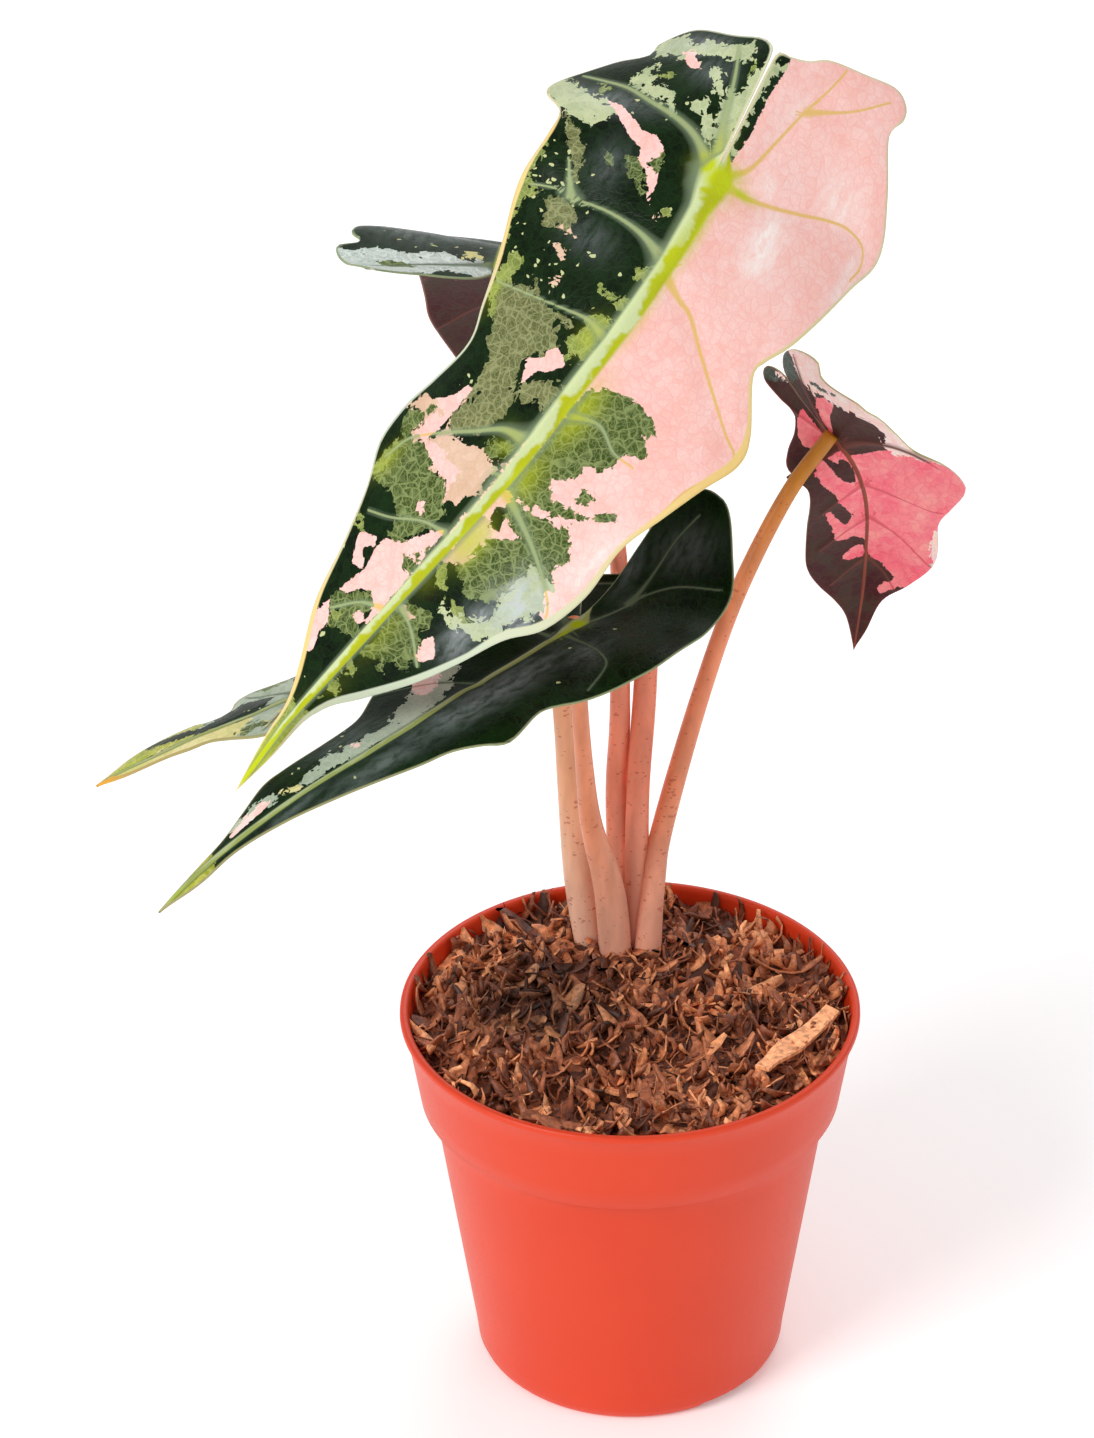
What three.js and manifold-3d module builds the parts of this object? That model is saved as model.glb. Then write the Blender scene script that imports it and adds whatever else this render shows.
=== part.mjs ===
// Potted variegated alocasia polly: a plastic nursery pot, its bark and coir mix, the corm in it,
// and five leaf stalks, each with one arrow-shaped leaf.
// Millimetres, +Z up. The origin is the centre of the pot's flat base. The front is -Y.
import * as THREE from 'three';
import { mergeVertices } from 'three/addons/utils/BufferGeometryUtils.js';
import Module from 'manifold-3d';

const wasm = await Module();
wasm.setup();

// Driving dimensions
const POT_HEIGHT = 105.5;
const POT_RIM_RADIUS = 60;
const POT_WALL = 1.3;
const POT_FLOOR = 2;
const POT_BASE_RADIUS = 37.7;
const POT_HEEL_RADIUS = 41.3;
const POT_HEEL_HEIGHT = 8;
const POT_SIDES = 48;
const COLLAR_BOTTOM = 79.5;
const COLLAR_RADIUS = 55;
const BODY_TOP_RADIUS = 51.8;
const LIP_WIDTH = 2.2;
const LIP_HEIGHT = 2.4;
const NOTCH_ANGLES = [41, 161, 281];
const NOTCH_WIDTH = 18;
const NOTCH_HEIGHT = 2.2;
const NOTCH_DEPTH = 12;
const DRAIN_HOLES = 6;
const DRAIN_RADIUS = 3.5;
const DRAIN_RING = 24;
const DRAIN_SIDES = 12;
const GAP = 0.3;

const SOIL_LEVEL = 101.3;
const SOIL_EDGE_RADIUS = 56.8;
const SOIL_MOUND = 3.5;
const SOIL_MOUND_WIDTH = 26;
const SOIL_LUMP = 0.9;
const SOIL_RINGS = 9;
const SOIL_SECTORS = 32;
const CHIP_COUNT = 88;
const CHIP_SEED = 7;
const CHIP_SPREAD = 54;
const CHIP_THICKNESS = 1;
const GOLDEN_ANGLE = 2.39996;

const CROWN = new THREE.Vector3(-2, 31, 0);
const CORM_RADIUS = 11;
const CORM_HEIGHT = 30;
const CORM_TOP = 92;
const CORM_STEPS = 10;
const CORM_SIDES = 16;

const BLADE_THICKNESS = 1.1;
const BLADE_ROWS = 26;
const BLADE_COLUMNS = 4;
const VEIN_RISE = 0.6;
const STALK_SIDES = 10;
const STALK_RINGS = 18;

// Each leaf is a flat arrow-shaped blank with its stalk joint at 0, 0 and its tip up the midrib.
// right and left are its two margins from the notch between the rear lobes round to the tip, as
// seen from above. The blank is bent along spine (a cubic Bezier from the joint to the tip), its
// upper face looks along face (at the joint and at the tip), and each half folds down by fold and
// curls by curl degrees at four places: the rear lobes, the joint, half way and the tip.
// rear lifts the rear lobes, and wave is the margin's height, length and shift.
const LEAVES = [
  {
    name: 'leaf_1', lobe: 50, width: 45, rear: -4, wave: [2, 55, 40],
    spine: [[20, 2, 344], [1, -29, 317], [-34, -50, 290], [-97, -44, 199]],
    face: [[0.25, -0.75, 0.59], [0.12, -0.86, 0.49]],
    fold: { right: [54, 31, 45, 24], left: [11, 15, 10, 16] },
    curl: { right: [15, 5, 9, 0], left: [6, 7, -14, -8] },
    right: [[0.1, -5], [0.8, -22], [1.6, -34], [4, -39], [15, -40.5], [30, -42.5], [38.5, -38],
      [38, -32.5], [46, -29], [52, -19], [52, -11], [45, -5], [45, 4], [46, 20], [42, 40],
      [38, 59], [34.5, 71], [37, 86], [39.5, 98], [38, 109], [30, 119], [22.5, 133], [17, 147],
      [9, 160], [4.5, 170], [3, 181], [0, 198]],
    left: [[0.2, -5], [1.8, -19], [4.2, -32], [9, -38.5], [14, -43], [24, -45.5], [33, -47.5],
      [37.5, -45], [38.5, -41], [37, -35], [44.5, -23], [50, -14], [51, -7], [47, 3], [40, 21],
      [36, 28.5], [35.5, 33], [43.5, 44.5], [45, 52], [41, 62], [37.5, 73], [34.5, 85],
      [35.5, 100], [33, 113], [27, 122], [22.5, 134], [17.5, 145.5], [10, 157], [5, 163.5],
      [2.3, 171], [1.6, 184], [0, 198]],
    stalk: [[2, 31.5, 84], [1.8, 33, 121], [2.1, 36.5, 148], [3.7, 44, 171], [6, 52, 206],
      [11, 53, 240], [16, 43, 290], [19.5, 22, 328], [20, 3.5, 342.5]],
    stalkRadius: [3.8, 3.3, 3, 3.1, 2.8, 2.5, 2.2, 2, 1.9],
  },
  {
    name: 'leaf_2', lobe: 36, width: 32, rear: 39, wave: [1.2, 42, 0],
    spine: [[-14, 9, 216], [-40, -35, 217], [-76, -61, 223], [-114, -80, 187]],
    face: [[-0.37, -0.24, 0.88], [-0.39, -0.31, 0.85]],
    fold: { right: [-18, -18, 9, 11], left: [3, 3, 5, 11] },
    curl: { right: [4, 1, 4, 0], left: [4, 2, 4, 0] },
    right: [[0.5, -4], [4.5, -12], [9.5, -22], [14.8, -32], [19, -39.5], [25, -40], [31, -32],
      [34, -20], [35, -8], [35, 6], [32, 20], [28, 34], [24, 46], [20.8, 58], [14.5, 70],
      [12, 83], [11.5, 95], [11, 102.5], [6.5, 112], [3, 120], [1.3, 130], [0, 143]],
    left: [[0.2, -4.5], [1.8, -18], [3.7, -30], [8, -41], [16.5, -47], [22, -46], [26, -42], [31, -31],
      [35, -20], [35, -8], [36, 3], [35, 13], [31, 21], [25.5, 31], [21.5, 37], [21, 41.5],
      [24.5, 53], [20, 58], [16, 64], [14, 73], [9, 92], [5.5, 105], [3, 119], [2.8, 131],
      [0, 143]],
    stalk: [[-3, 29, 84], [-5.1, 26, 122], [-9.8, 22, 146], [-11.7, 18.5, 166], [-12.9, 14, 190],
      [-14, 9.2, 215.8]],
    stalkRadius: [4.4, 3.7, 2.9, 2.4, 2.1, 2],
  },
  {
    name: 'leaf_3', lobe: 34, width: 30, rear: 10, wave: [1, 38, 20],
    spine: [[-21, 40, 210.5], [-53, 10, 211], [-90, -18, 209], [-134.5, -13, 181]],
    face: [[-0.13, 0.10, 0.92], [-0.31, 0.11, 0.82]],
    fold: { right: [10, 3, 9, 2], left: [30, 26, -2, 1] },
    curl: { right: [5, 4, 5, 0], left: [5, 5, 4, 0] },
    right: [[0.5, -4], [4, -11], [9.3, -21.5], [14.5, -31.5], [19, -34], [25, -31], [30, -20],
      [31, -6], [30, 10], [27, 26], [23, 42], [19, 56], [15.5, 69], [15.5, 79], [17.5, 88], [15.5, 93],
      [8.5, 96], [8.5, 102], [11.2, 108], [10, 120], [7.5, 127], [2.7, 132], [0, 135]],
    left: [[0.5, -4], [4, -10], [9.2, -18.5], [13.9, -26.5], [17, -30], [20, -25], [20.5, -12],
      [19, 0], [17, 14], [15, 28], [13, 42], [13, 56], [15, 70], [19, 82], [19, 90], [11, 97.5],
      [6.6, 102.5], [5.7, 107.5], [4, 114], [3, 126], [0, 135]],
    stalk: [[-8.3, 34, 84], [-13.2, 35.5, 121], [-16, 37, 151], [-17.6, 38, 174],
      [-21, 40.5, 208.5]],
    stalkRadius: [3.6, 3.3, 2.9, 2.6, 2],
  },
  {
    name: 'leaf_4', lobe: 36, width: 36, rear: 10, wave: [1.2, 46, 60],
    spine: [[-32, 29, 306], [-29, 72, 303], [-29, 95, 263], [-32, 109, 203]],
    face: [[0.15, 0.24, 0.94], [0.03, 0.97, 0.24]],
    fold: { right: [5, 5, 5, 5], left: [-7, 0, 3, 5] },
    curl: { right: [5, 5, 5, 0], left: [3, 5, 4, 0] },
    right: [[0.3, -4.5], [3, -15], [7, -28], [15, -33], [24, -31], [31, -22], [34, -8], [33, 8],
      [30, 24], [27, 42], [24, 60], [21, 78], [17, 92], [11, 108], [5, 124], [2.5, 134], [0, 144]],
    left: [[0.5, -4], [5, -10], [12, -13], [19, -14.5], [26, -18], [30.5, -20], [34.5, -16],
      [38, -7], [41, 3], [35.5, 6.5], [38.5, 12.5], [35, 26], [30.5, 35], [26, 52],
      [23.5, 70], [22.5, 79], [20, 86], [16, 95], [12, 104], [7, 119], [3, 132], [0, 144]],
    stalk: [[-2.2, 35.5, 84], [-2.7, 36.5, 121], [-3.3, 40.8, 147], [-2.6, 44, 170],
      [-3, 49.5, 211], [-8, 50, 245], [-24, 42, 285], [-32, 31, 303.5]],
    stalkRadius: [3.8, 3.2, 3.1, 2.7, 2.3, 2.1, 2, 1.9],
  },
  {
    name: 'leaf_5', lobe: 26, width: 24, rear: 18, wave: [0.8, 32, 0],
    spine: [[53, 71, 235], [65, 65, 224], [65, 96, 195], [60, 89, 160]],
    face: [[-0.03, 0.80, 0.59], [0.03, 0.95, 0.31]],
    fold: { right: [10, 6, 9, 10], left: [9, 9, 7, 10] },
    curl: { right: [5, 4, 5, 0], left: [5, 5, 4, 0] },
    right: [[0.1, -4.5], [0.6, -13], [1.4, -21], [5, -24.5], [11, -24], [17, -20.5], [20, -16.5],
      [16.5, -12.5], [22, -2], [18, 4], [18, 8.5], [24, 13], [27, 17], [26.7, 20], [22.4, 26],
      [18.5, 34], [18.2, 48], [12, 58], [5.5, 65], [2.5, 75], [0, 81]],
    left: [[0.1, -4.5], [0.6, -13], [1.4, -21], [4, -25.5], [7, -24], [6, -17], [5, -12], [9, -8],
      [15, -5.5], [19.5, -2], [19, 4], [15, 12], [14.5, 18], [16.5, 33], [16.8, 48], [15.5, 55],
      [12, 61], [7, 66.5], [3.5, 71.5], [0, 81]],
    stalk: [[4, 27, 84], [4.8, 27.5, 106], [6.4, 31, 125], [8.6, 35.5, 138], [18.8, 48, 172],
      [28, 57.5, 196], [40.8, 67, 220], [52, 70, 236]],
    stalkRadius: [3.8, 3.5, 3, 2.9, 2.5, 2.3, 2.1, 2],
  },
];

// Colours from the real plant and pot
const POT_RED = 0xe2492f;
const SOIL_BROWN = 0x5b3a2a;
const CORM_BROWN = 0x8a5f43;
const STALK_SALMON = 0xd9946f;
const LEAF_GREEN = 0x1f3a24;
const LEAF_PINK = 0xe9b3a8;

// Solids: a closed BufferGeometry to a manifold and back
function toSolid(geometry) {
  const bare = geometry.clone();
  bare.deleteAttribute('normal');
  bare.deleteAttribute('uv');
  const merged = mergeVertices(bare, 1e-4);
  const mesh = new wasm.Mesh({
    numProp: 3,
    vertProperties: new Float32Array(merged.attributes.position.array),
    triVerts: new Uint32Array(merged.index.array),
  });
  mesh.merge();
  return new wasm.Manifold(mesh);
}

function toGeometry(solid) {
  const mesh = solid.getMesh();
  const geometry = new THREE.BufferGeometry();
  geometry.setAttribute('position', new THREE.BufferAttribute(mesh.vertProperties, 3));
  geometry.setIndex(new THREE.BufferAttribute(mesh.triVerts, 1));
  geometry.computeVertexNormals();
  return geometry;
}

// The largest connected body of a solid, without the loose scraps that a cut leaves
function largestBody(solid) {
  const bodies = solid.decompose();
  return bodies.reduce((best, body) => (body.volume() > best.volume() ? body : best));
}

// A closed skin from rings of points with the same count, capped flat at both ends
function skinRings(rings) {
  const sides = rings[0].length;
  const points = rings.flat();
  const first = points.push(centre(rings[0])) - 1;
  const last = points.push(centre(rings.at(-1))) - 1;
  const index = [];
  for (let i = 0; i + 1 < rings.length; i++) {
    for (let j = 0; j < sides; j++) {
      const k = (j + 1) % sides;
      const a = i * sides + j;
      const b = i * sides + k;
      index.push(a, b, b + sides, a, b + sides, a + sides);
    }
  }
  const top = (rings.length - 1) * sides;
  for (let j = 0; j < sides; j++) {
    const k = (j + 1) % sides;
    index.push(first, k, j, last, top + j, top + k);
  }
  return geometryFrom(points, index);
}

function centre(ring) {
  const sum = new THREE.Vector3();
  ring.forEach((point) => sum.add(point));
  return sum.divideScalar(ring.length);
}

function geometryFrom(points, index) {
  const geometry = new THREE.BufferGeometry().setFromPoints(points);
  geometry.setIndex(index);
  return geometry;
}

// Leaf blade
const rad = THREE.MathUtils.degToRad;
const smooth = (t) => t * t * (3 - 2 * t);
const vector = (list) => new THREE.Vector3(...list);

// Four values in degrees, eased between the rear lobes, the joint, half way and the tip
function eased(values, y, leaf) {
  const stops = [-leaf.lobe, 0, leaf.length / 2, leaf.length];
  const i = y < 0 ? 0 : y < stops[2] ? 1 : 2;
  const t = THREE.MathUtils.clamp((y - stops[i]) / (stops[i + 1] - stops[i]), 0, 1);
  return rad(values[i] + (values[i + 1] - values[i]) * smooth(t));
}

// The midrib's point and its three directions: tip (forward), up (upper face) and right
function midribFrame(leaf, y) {
  const { spineCurve: curve, length } = leaf;
  const t = y <= 0 ? 0 : curve.getUtoTmapping(Math.min(y / length, 1));
  const point = curve.getPoint(t);
  const forward = curve.getTangent(t);
  const [atJoint, atTip] = leaf.face.map((list) => vector(list).normalize());
  const up = atJoint.lerp(atTip, smooth(THREE.MathUtils.clamp(y / length, 0, 1))).normalize();
  up.addScaledVector(forward, -up.dot(forward)).normalize();
  if (y < 0) {
    const bend = rad(leaf.rear) / leaf.lobe;
    const turn = -bend * y;
    const back = bend === 0 ? -y : Math.sin(turn) / bend;
    const lift = bend === 0 ? 0 : (1 - Math.cos(turn)) / bend;
    point.addScaledVector(forward, -back).addScaledVector(up, lift);
    const level = forward.clone();
    forward.multiplyScalar(Math.cos(turn)).addScaledVector(up, -Math.sin(turn));
    up.multiplyScalar(Math.cos(turn)).addScaledVector(level, Math.sin(turn));
  }
  const right = new THREE.Vector3().crossVectors(forward, up);
  return { point, forward, up, right };
}

// A point of the flat blank, x to the right of the midrib and y along it, on the bent leaf
function bladePoint(leaf, x, y) {
  const { point, up, right } = midribFrame(leaf, y);
  const side = x < 0 ? -1 : 1;
  const half = side < 0 ? 'left' : 'right';
  const out = Math.abs(x);
  const fold = eased(leaf.fold[half], y, leaf);
  const curl = eased(leaf.curl[half], y, leaf) / leaf.width || 1e-6;
  const across = (Math.sin(fold + curl * out) - Math.sin(fold)) / curl;
  const down = (Math.cos(fold) - Math.cos(fold + curl * out)) / curl;
  const [height, length, shift] = leaf.wave;
  const phase = (2 * Math.PI * y) / length + rad(shift) * side;
  const ripple = height * (out / leaf.width) ** 2 * Math.sin(phase);
  return point.addScaledVector(right, side * across).addScaledVector(up, ripple - down);
}

function bladeNormal(leaf, x, y) {
  const step = 0.5;
  const alongX = bladePoint(leaf, x + step, y).sub(bladePoint(leaf, x - step, y));
  const alongY = bladePoint(leaf, x, y + step).sub(bladePoint(leaf, x, y - step));
  return alongX.cross(alongY).normalize();
}

// Rows of the blank run like its side veins, from the midrib out to both margins
function blankRows(leaf) {
  const margin = (points, side) => {
    const curve = new THREE.CatmullRomCurve3(points.map(([x, y]) => new THREE.Vector3(x, y, 0)),
      false, 'catmullrom', 0.5);
    curve.arcLengthDivisions = 400;
    return curve.getSpacedPoints(BLADE_ROWS).map((p) => [side * Math.max(p.x, 0), p.y]);
  };
  const right = margin(leaf.right, 1);
  const left = margin(leaf.left, -1);
  const rows = [];
  let root = -2.5;
  for (let i = 0; i <= BLADE_ROWS; i++) {
    const reach = (right[i][0] - left[i][0]) / 2;
    root = Math.max(root + 0.1, (right[i][1] + left[i][1]) / 2 - VEIN_RISE * reach);
    const row = [];
    for (let j = -BLADE_COLUMNS; j <= BLADE_COLUMNS; j++) {
      const [x, y] = j < 0 ? left[i] : right[i];
      const share = Math.abs(j) / BLADE_COLUMNS;
      row.push([x * share, root + (y - root) * share]);
    }
    rows.push(row);
  }
  rows[BLADE_ROWS].forEach((place) => place.splice(0, 2, 0, leaf.length));
  return rows;
}

// The bent blade as one closed solid, split into triangles alike on both faces
function bladeGeometry(leaf, extra) {
  const rows = blankRows(leaf);
  const columns = 2 * BLADE_COLUMNS + 1;
  const half = BLADE_THICKNESS / 2 + extra;
  const upper = [];
  const lower = [];
  rows.forEach((row) => row.forEach(([x, y]) => {
    const point = bladePoint(leaf, x, y);
    const normal = bladeNormal(leaf, x, y);
    upper.push(point.clone().addScaledVector(normal, half));
    lower.push(point.clone().addScaledVector(normal, -half));
  }));
  const under = upper.length;
  const index = [];
  for (let i = 0; i < BLADE_ROWS; i++) {
    for (let j = 0; j + 1 < columns; j++) {
      const a = i * columns + j;
      const b = a + 1;
      const c = b + columns;
      const d = a + columns;
      const faces = j < BLADE_COLUMNS ? [[a, b, c], [a, c, d]] : [[a, b, d], [b, c, d]];
      faces.forEach(([p, q, r]) => index.push(p, q, r, under + p, under + r, under + q));
    }
    const left = i * columns;
    const right = left + columns - 1;
    closeEdge(index, left, left + columns, under);
    closeEdge(index, right + columns, right, under);
  }
  for (let j = 0; j + 1 < columns; j++) {
    closeEdge(index, j + 1, j, under);
  }
  return dropFlatFaces(geometryFrom([...upper, ...lower], index));
}

// Two triangles from the upper margin a-b down to the same stretch of the lower margin
function closeEdge(index, a, b, under) {
  index.push(a, b, under + a);
  index.push(b, under + b, under + a);
}

// All columns meet in one point at the tip, so the last row's flat faces drop out
function dropFlatFaces(geometry) {
  const merged = mergeVertices(geometry, 1e-4);
  const kept = [];
  const source = merged.index.array;
  for (let i = 0; i < source.length; i += 3) {
    const [a, b, c] = [source[i], source[i + 1], source[i + 2]];
    if (a !== b && b !== c && c !== a) kept.push(a, b, c);
  }
  merged.setIndex(kept);
  return merged;
}

function prepareLeaf(leaf) {
  leaf.spineCurve = new THREE.CubicBezierCurve3(...leaf.spine.map(vector));
  leaf.spineCurve.arcLengthDivisions = 200;
  leaf.length = leaf.spineCurve.getLength();
}

// Stalk: round rings along a curve, thick and sheathing at the crown, slim under the leaf
function stalkGeometry(leaf, extra) {
  const curve = new THREE.CatmullRomCurve3(leaf.stalk.map(vector), false, 'catmullrom', 0.5);
  const radii = new THREE.CatmullRomCurve3(leaf.stalkRadius.map((r) => new THREE.Vector3(r, 0, 0)),
    false, 'catmullrom', 0.5);
  const rings = [];
  const side = new THREE.Vector3(1, 0, 0);
  for (let i = 0; i <= STALK_RINGS; i++) {
    const t = i / STALK_RINGS;
    const along = curve.getTangent(t);
    const u = side.clone().addScaledVector(along, -side.dot(along)).normalize();
    const v = new THREE.Vector3().crossVectors(along, u);
    const radius = radii.getPoint(t).x + extra;
    const ring = [];
    for (let j = 0; j < STALK_SIDES; j++) {
      const angle = (2 * Math.PI * j) / STALK_SIDES;
      ring.push(curve.getPoint(t).addScaledVector(u, radius * Math.cos(angle))
        .addScaledVector(v, radius * Math.sin(angle)));
    }
    rings.push(ring);
  }
  return skinRings(rings);
}

// Corm: the swollen underground stem, an upright egg under the crown
function cormGeometry(extra) {
  const profile = [];
  for (let i = 0; i <= CORM_STEPS; i++) {
    const angle = (Math.PI * i) / CORM_STEPS;
    const radius = i % CORM_STEPS === 0 ? 0 : Math.sin(angle) * (CORM_RADIUS + extra);
    profile.push(new THREE.Vector2(radius, -Math.cos(angle) * (CORM_HEIGHT / 2 + extra)));
  }
  return lathe(profile, CORM_SIDES).translate(CROWN.x, CROWN.y, CORM_TOP - CORM_HEIGHT / 2);
}

// A turned solid about the Z axis, from its profile of radius and height
function lathe(profile, sides) {
  return new THREE.LatheGeometry(profile, sides).rotateX(Math.PI / 2);
}

// Pot: thin tapered body, a wider collar with a step under it, and a flat lip
const WALL_FOOT = [POT_HEEL_RADIUS - POT_WALL, POT_HEEL_HEIGHT];
const WALL_STEP = [BODY_TOP_RADIUS - POT_WALL, COLLAR_BOTTOM - 2];
const WALL_COLLAR = [COLLAR_RADIUS - POT_WALL, COLLAR_BOTTOM + 2];
const POT_OUTSIDE = [[0, 0], [POT_BASE_RADIUS, 0], [39.6, 1.2], [40.8, 3.6],
  [POT_HEEL_RADIUS, POT_HEEL_HEIGHT], [BODY_TOP_RADIUS, COLLAR_BOTTOM - 0.6], [52.4, COLLAR_BOTTOM],
  [COLLAR_RADIUS, COLLAR_BOTTOM + 0.4], [POT_RIM_RADIUS - 1.2, POT_HEIGHT - LIP_HEIGHT],
  [POT_RIM_RADIUS, POT_HEIGHT - LIP_HEIGHT + 0.4], [POT_RIM_RADIUS, POT_HEIGHT - 0.4],
  [POT_RIM_RADIUS - 0.4, POT_HEIGHT]];
const POT_INSIDE = [[POT_RIM_RADIUS - LIP_WIDTH, POT_HEIGHT],
  [POT_RIM_RADIUS - LIP_WIDTH - 0.3, POT_HEIGHT - LIP_HEIGHT], WALL_COLLAR, WALL_STEP, WALL_FOOT,
  [39.2, 3.8], [37.5, POT_FLOOR], [0, POT_FLOOR]];

function profile2D(points) {
  return points.map(([radius, z]) => new THREE.Vector2(radius, z));
}

function potSolid() {
  let solid = toSolid(lathe(profile2D([...POT_OUTSIDE, ...POT_INSIDE]), POT_SIDES));
  NOTCH_ANGLES.forEach((angle) => {
    const notch = new THREE.BoxGeometry(NOTCH_WIDTH, NOTCH_DEPTH, 2 * NOTCH_HEIGHT);
    notch.translate(0, -POT_BASE_RADIUS - 1, 0).rotateZ(rad(angle));
    solid = solid.subtract(toSolid(notch));
  });
  for (let i = 0; i < DRAIN_HOLES; i++) {
    const hole = new THREE.CylinderGeometry(DRAIN_RADIUS, DRAIN_RADIUS, 5 * POT_FLOOR, DRAIN_SIDES);
    hole.rotateX(Math.PI / 2).translate(DRAIN_RING, 0, 0);
    hole.rotateZ((2 * Math.PI * (i + 0.5)) / DRAIN_HOLES);
    solid = solid.subtract(toSolid(hole));
  }
  return solid;
}

// Growing mix: a plug that follows the pot's inside, mounded to the crown, with bark and coir
// chips fused to its top
function mixHeight(x, y) {
  const fromCrown = Math.hypot(x - CROWN.x, y - CROWN.y);
  const mound = SOIL_MOUND * Math.exp(-((fromCrown / SOIL_MOUND_WIDTH) ** 2));
  const small = Math.sin(x * 0.31 + 1) * Math.cos(y * 0.27);
  const broad = Math.sin(x * 0.11 - y * 0.19);
  return SOIL_LEVEL + mound + SOIL_LUMP * (small + 0.7 * broad);
}

function mixBody() {
  const side = [[37, POT_FLOOR + GAP], [39.2 - GAP, 4.2], WALL_FOOT, WALL_STEP, WALL_COLLAR];
  const rings = side.map(([radius, z], i) => circle(i < 2 ? radius : radius - GAP, () => z + GAP));
  for (let i = 0; i < SOIL_RINGS; i++) {
    rings.push(circle(SOIL_EDGE_RADIUS * (1 - i / SOIL_RINGS) ** 0.8, mixHeight));
  }
  return toSolid(skinRings(rings));
}

function circle(radius, height) {
  const ring = [];
  for (let j = 0; j < SOIL_SECTORS; j++) {
    const angle = (2 * Math.PI * j) / SOIL_SECTORS;
    const [x, y] = [radius * Math.cos(angle), radius * Math.sin(angle)];
    ring.push(new THREE.Vector3(x, y, height(x, y)));
  }
  return ring;
}

function seededRandom(seed) {
  let state = seed;
  return () => {
    state = (state * 16807) % 2147483647;
    return state / 2147483647;
  };
}

// A chip: a short flat strip, bent upward along its length and sunk by its middle or one end
function chipGeometry(random) {
  const length = 10 + 9 * random();
  const width = 2.6 + 2.6 * random();
  const bend = 1 + 2 * random();
  const rings = [];
  for (let i = 0; i <= 2; i++) {
    const s = i / 2 - 0.5;
    const half = (width / 2) * (1 - 1.6 * s * s);
    const z = bend * (4 * s * s - 0.4);
    rings.push([[-half, -1], [half, -1], [half, 1], [-half, 1]]
      .map(([x, face]) => new THREE.Vector3(s * length, x, z + (face * CHIP_THICKNESS) / 2)));
  }
  return skinRings(rings);
}

function chips() {
  const random = seededRandom(CHIP_SEED);
  const turn = new THREE.Matrix4();
  const solids = [];
  for (let i = 0; i < CHIP_COUNT; i++) {
    const radius = CHIP_SPREAD * Math.sqrt((i + 0.5) / CHIP_COUNT);
    const angle = i * GOLDEN_ANGLE + 0.4 * random();
    const [x, y] = [radius * Math.cos(angle), radius * Math.sin(angle)];
    const chip = chipGeometry(random);
    turn.makeRotationFromEuler(new THREE.Euler(0.9 * (random() - 0.5), 0.7 * (random() - 0.5),
      2 * Math.PI * random(), 'ZYX'));
    chip.applyMatrix4(turn).translate(x, y, mixHeight(x, y) + 0.3);
    solids.push(toSolid(chip));
  }
  return wasm.Manifold.union(solids);
}

// The room inside the pot, which the chips stay in
function potRoom() {
  const [collarRadius, collarHeight] = WALL_COLLAR;
  const lipRadius = POT_RIM_RADIUS - LIP_WIDTH - 0.3 - 2 * GAP;
  const [bottom, top] = [POT_HEIGHT / 2, POT_HEIGHT * 1.2];
  return toSolid(lathe(profile2D([[0, bottom], [WALL_FOOT[0], bottom],
    [collarRadius - 2 * GAP, collarHeight], [lipRadius, POT_HEIGHT - LIP_HEIGHT], [lipRadius, top],
    [0, top]]), POT_SIDES));
}

const group = new THREE.Group();
function addPiece(name, solid, color, roughness) {
  const material = new THREE.MeshStandardMaterial({ color, roughness, metalness: 0 });
  const mesh = new THREE.Mesh(toGeometry(solid), material);
  mesh.name = name;
  group.add(mesh);
}

LEAVES.forEach(prepareLeaf);
const corm = toSolid(cormGeometry(0));
addPiece('corm', corm, CORM_BROWN, 0.9);

// Each stalk's base wraps the ones inside it, and its top ends just under its leaf
let taken = toSolid(cormGeometry(GAP));
LEAVES.forEach((leaf, i) => {
  const blade = toSolid(bladeGeometry(leaf, 0));
  addPiece(leaf.name, blade, i === 0 || i === 4 ? LEAF_PINK : LEAF_GREEN, 0.45);
  const stalk = toSolid(stalkGeometry(leaf, 0)).subtract(taken)
    .subtract(toSolid(bladeGeometry(leaf, GAP)));
  addPiece(`stalk_${i + 1}`, largestBody(stalk), STALK_SALMON, 0.5);
  taken = taken.add(toSolid(stalkGeometry(leaf, GAP)));
});

const mix = mixBody().add(chips().intersect(potRoom())).subtract(taken);
addPiece('growing_mix', largestBody(mix), SOIL_BROWN, 0.95);
addPiece('pot', potSolid(), POT_RED, 0.4);

export default group;
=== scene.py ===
import math

import bmesh
import bpy
import numpy as np
from mathutils import Matrix, Vector


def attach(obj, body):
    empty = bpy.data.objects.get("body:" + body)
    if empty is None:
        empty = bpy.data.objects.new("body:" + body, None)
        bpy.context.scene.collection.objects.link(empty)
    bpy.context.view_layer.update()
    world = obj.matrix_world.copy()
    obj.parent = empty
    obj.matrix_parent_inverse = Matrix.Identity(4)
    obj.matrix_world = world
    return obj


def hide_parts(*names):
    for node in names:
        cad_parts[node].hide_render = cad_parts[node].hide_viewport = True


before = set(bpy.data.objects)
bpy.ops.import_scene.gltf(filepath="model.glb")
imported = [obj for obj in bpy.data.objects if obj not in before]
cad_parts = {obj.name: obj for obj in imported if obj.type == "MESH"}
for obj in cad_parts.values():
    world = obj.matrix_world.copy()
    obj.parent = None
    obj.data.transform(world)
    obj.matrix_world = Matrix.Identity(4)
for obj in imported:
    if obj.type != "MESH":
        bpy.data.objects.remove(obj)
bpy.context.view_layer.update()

# Potted variegated alocasia polly: five arrow-shaped leaves on bare salmon stalks, grown from a
# corm in a bark and coir mix, in a round plastic nursery pot. Metres, +Z up, the front is -Y.


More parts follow.
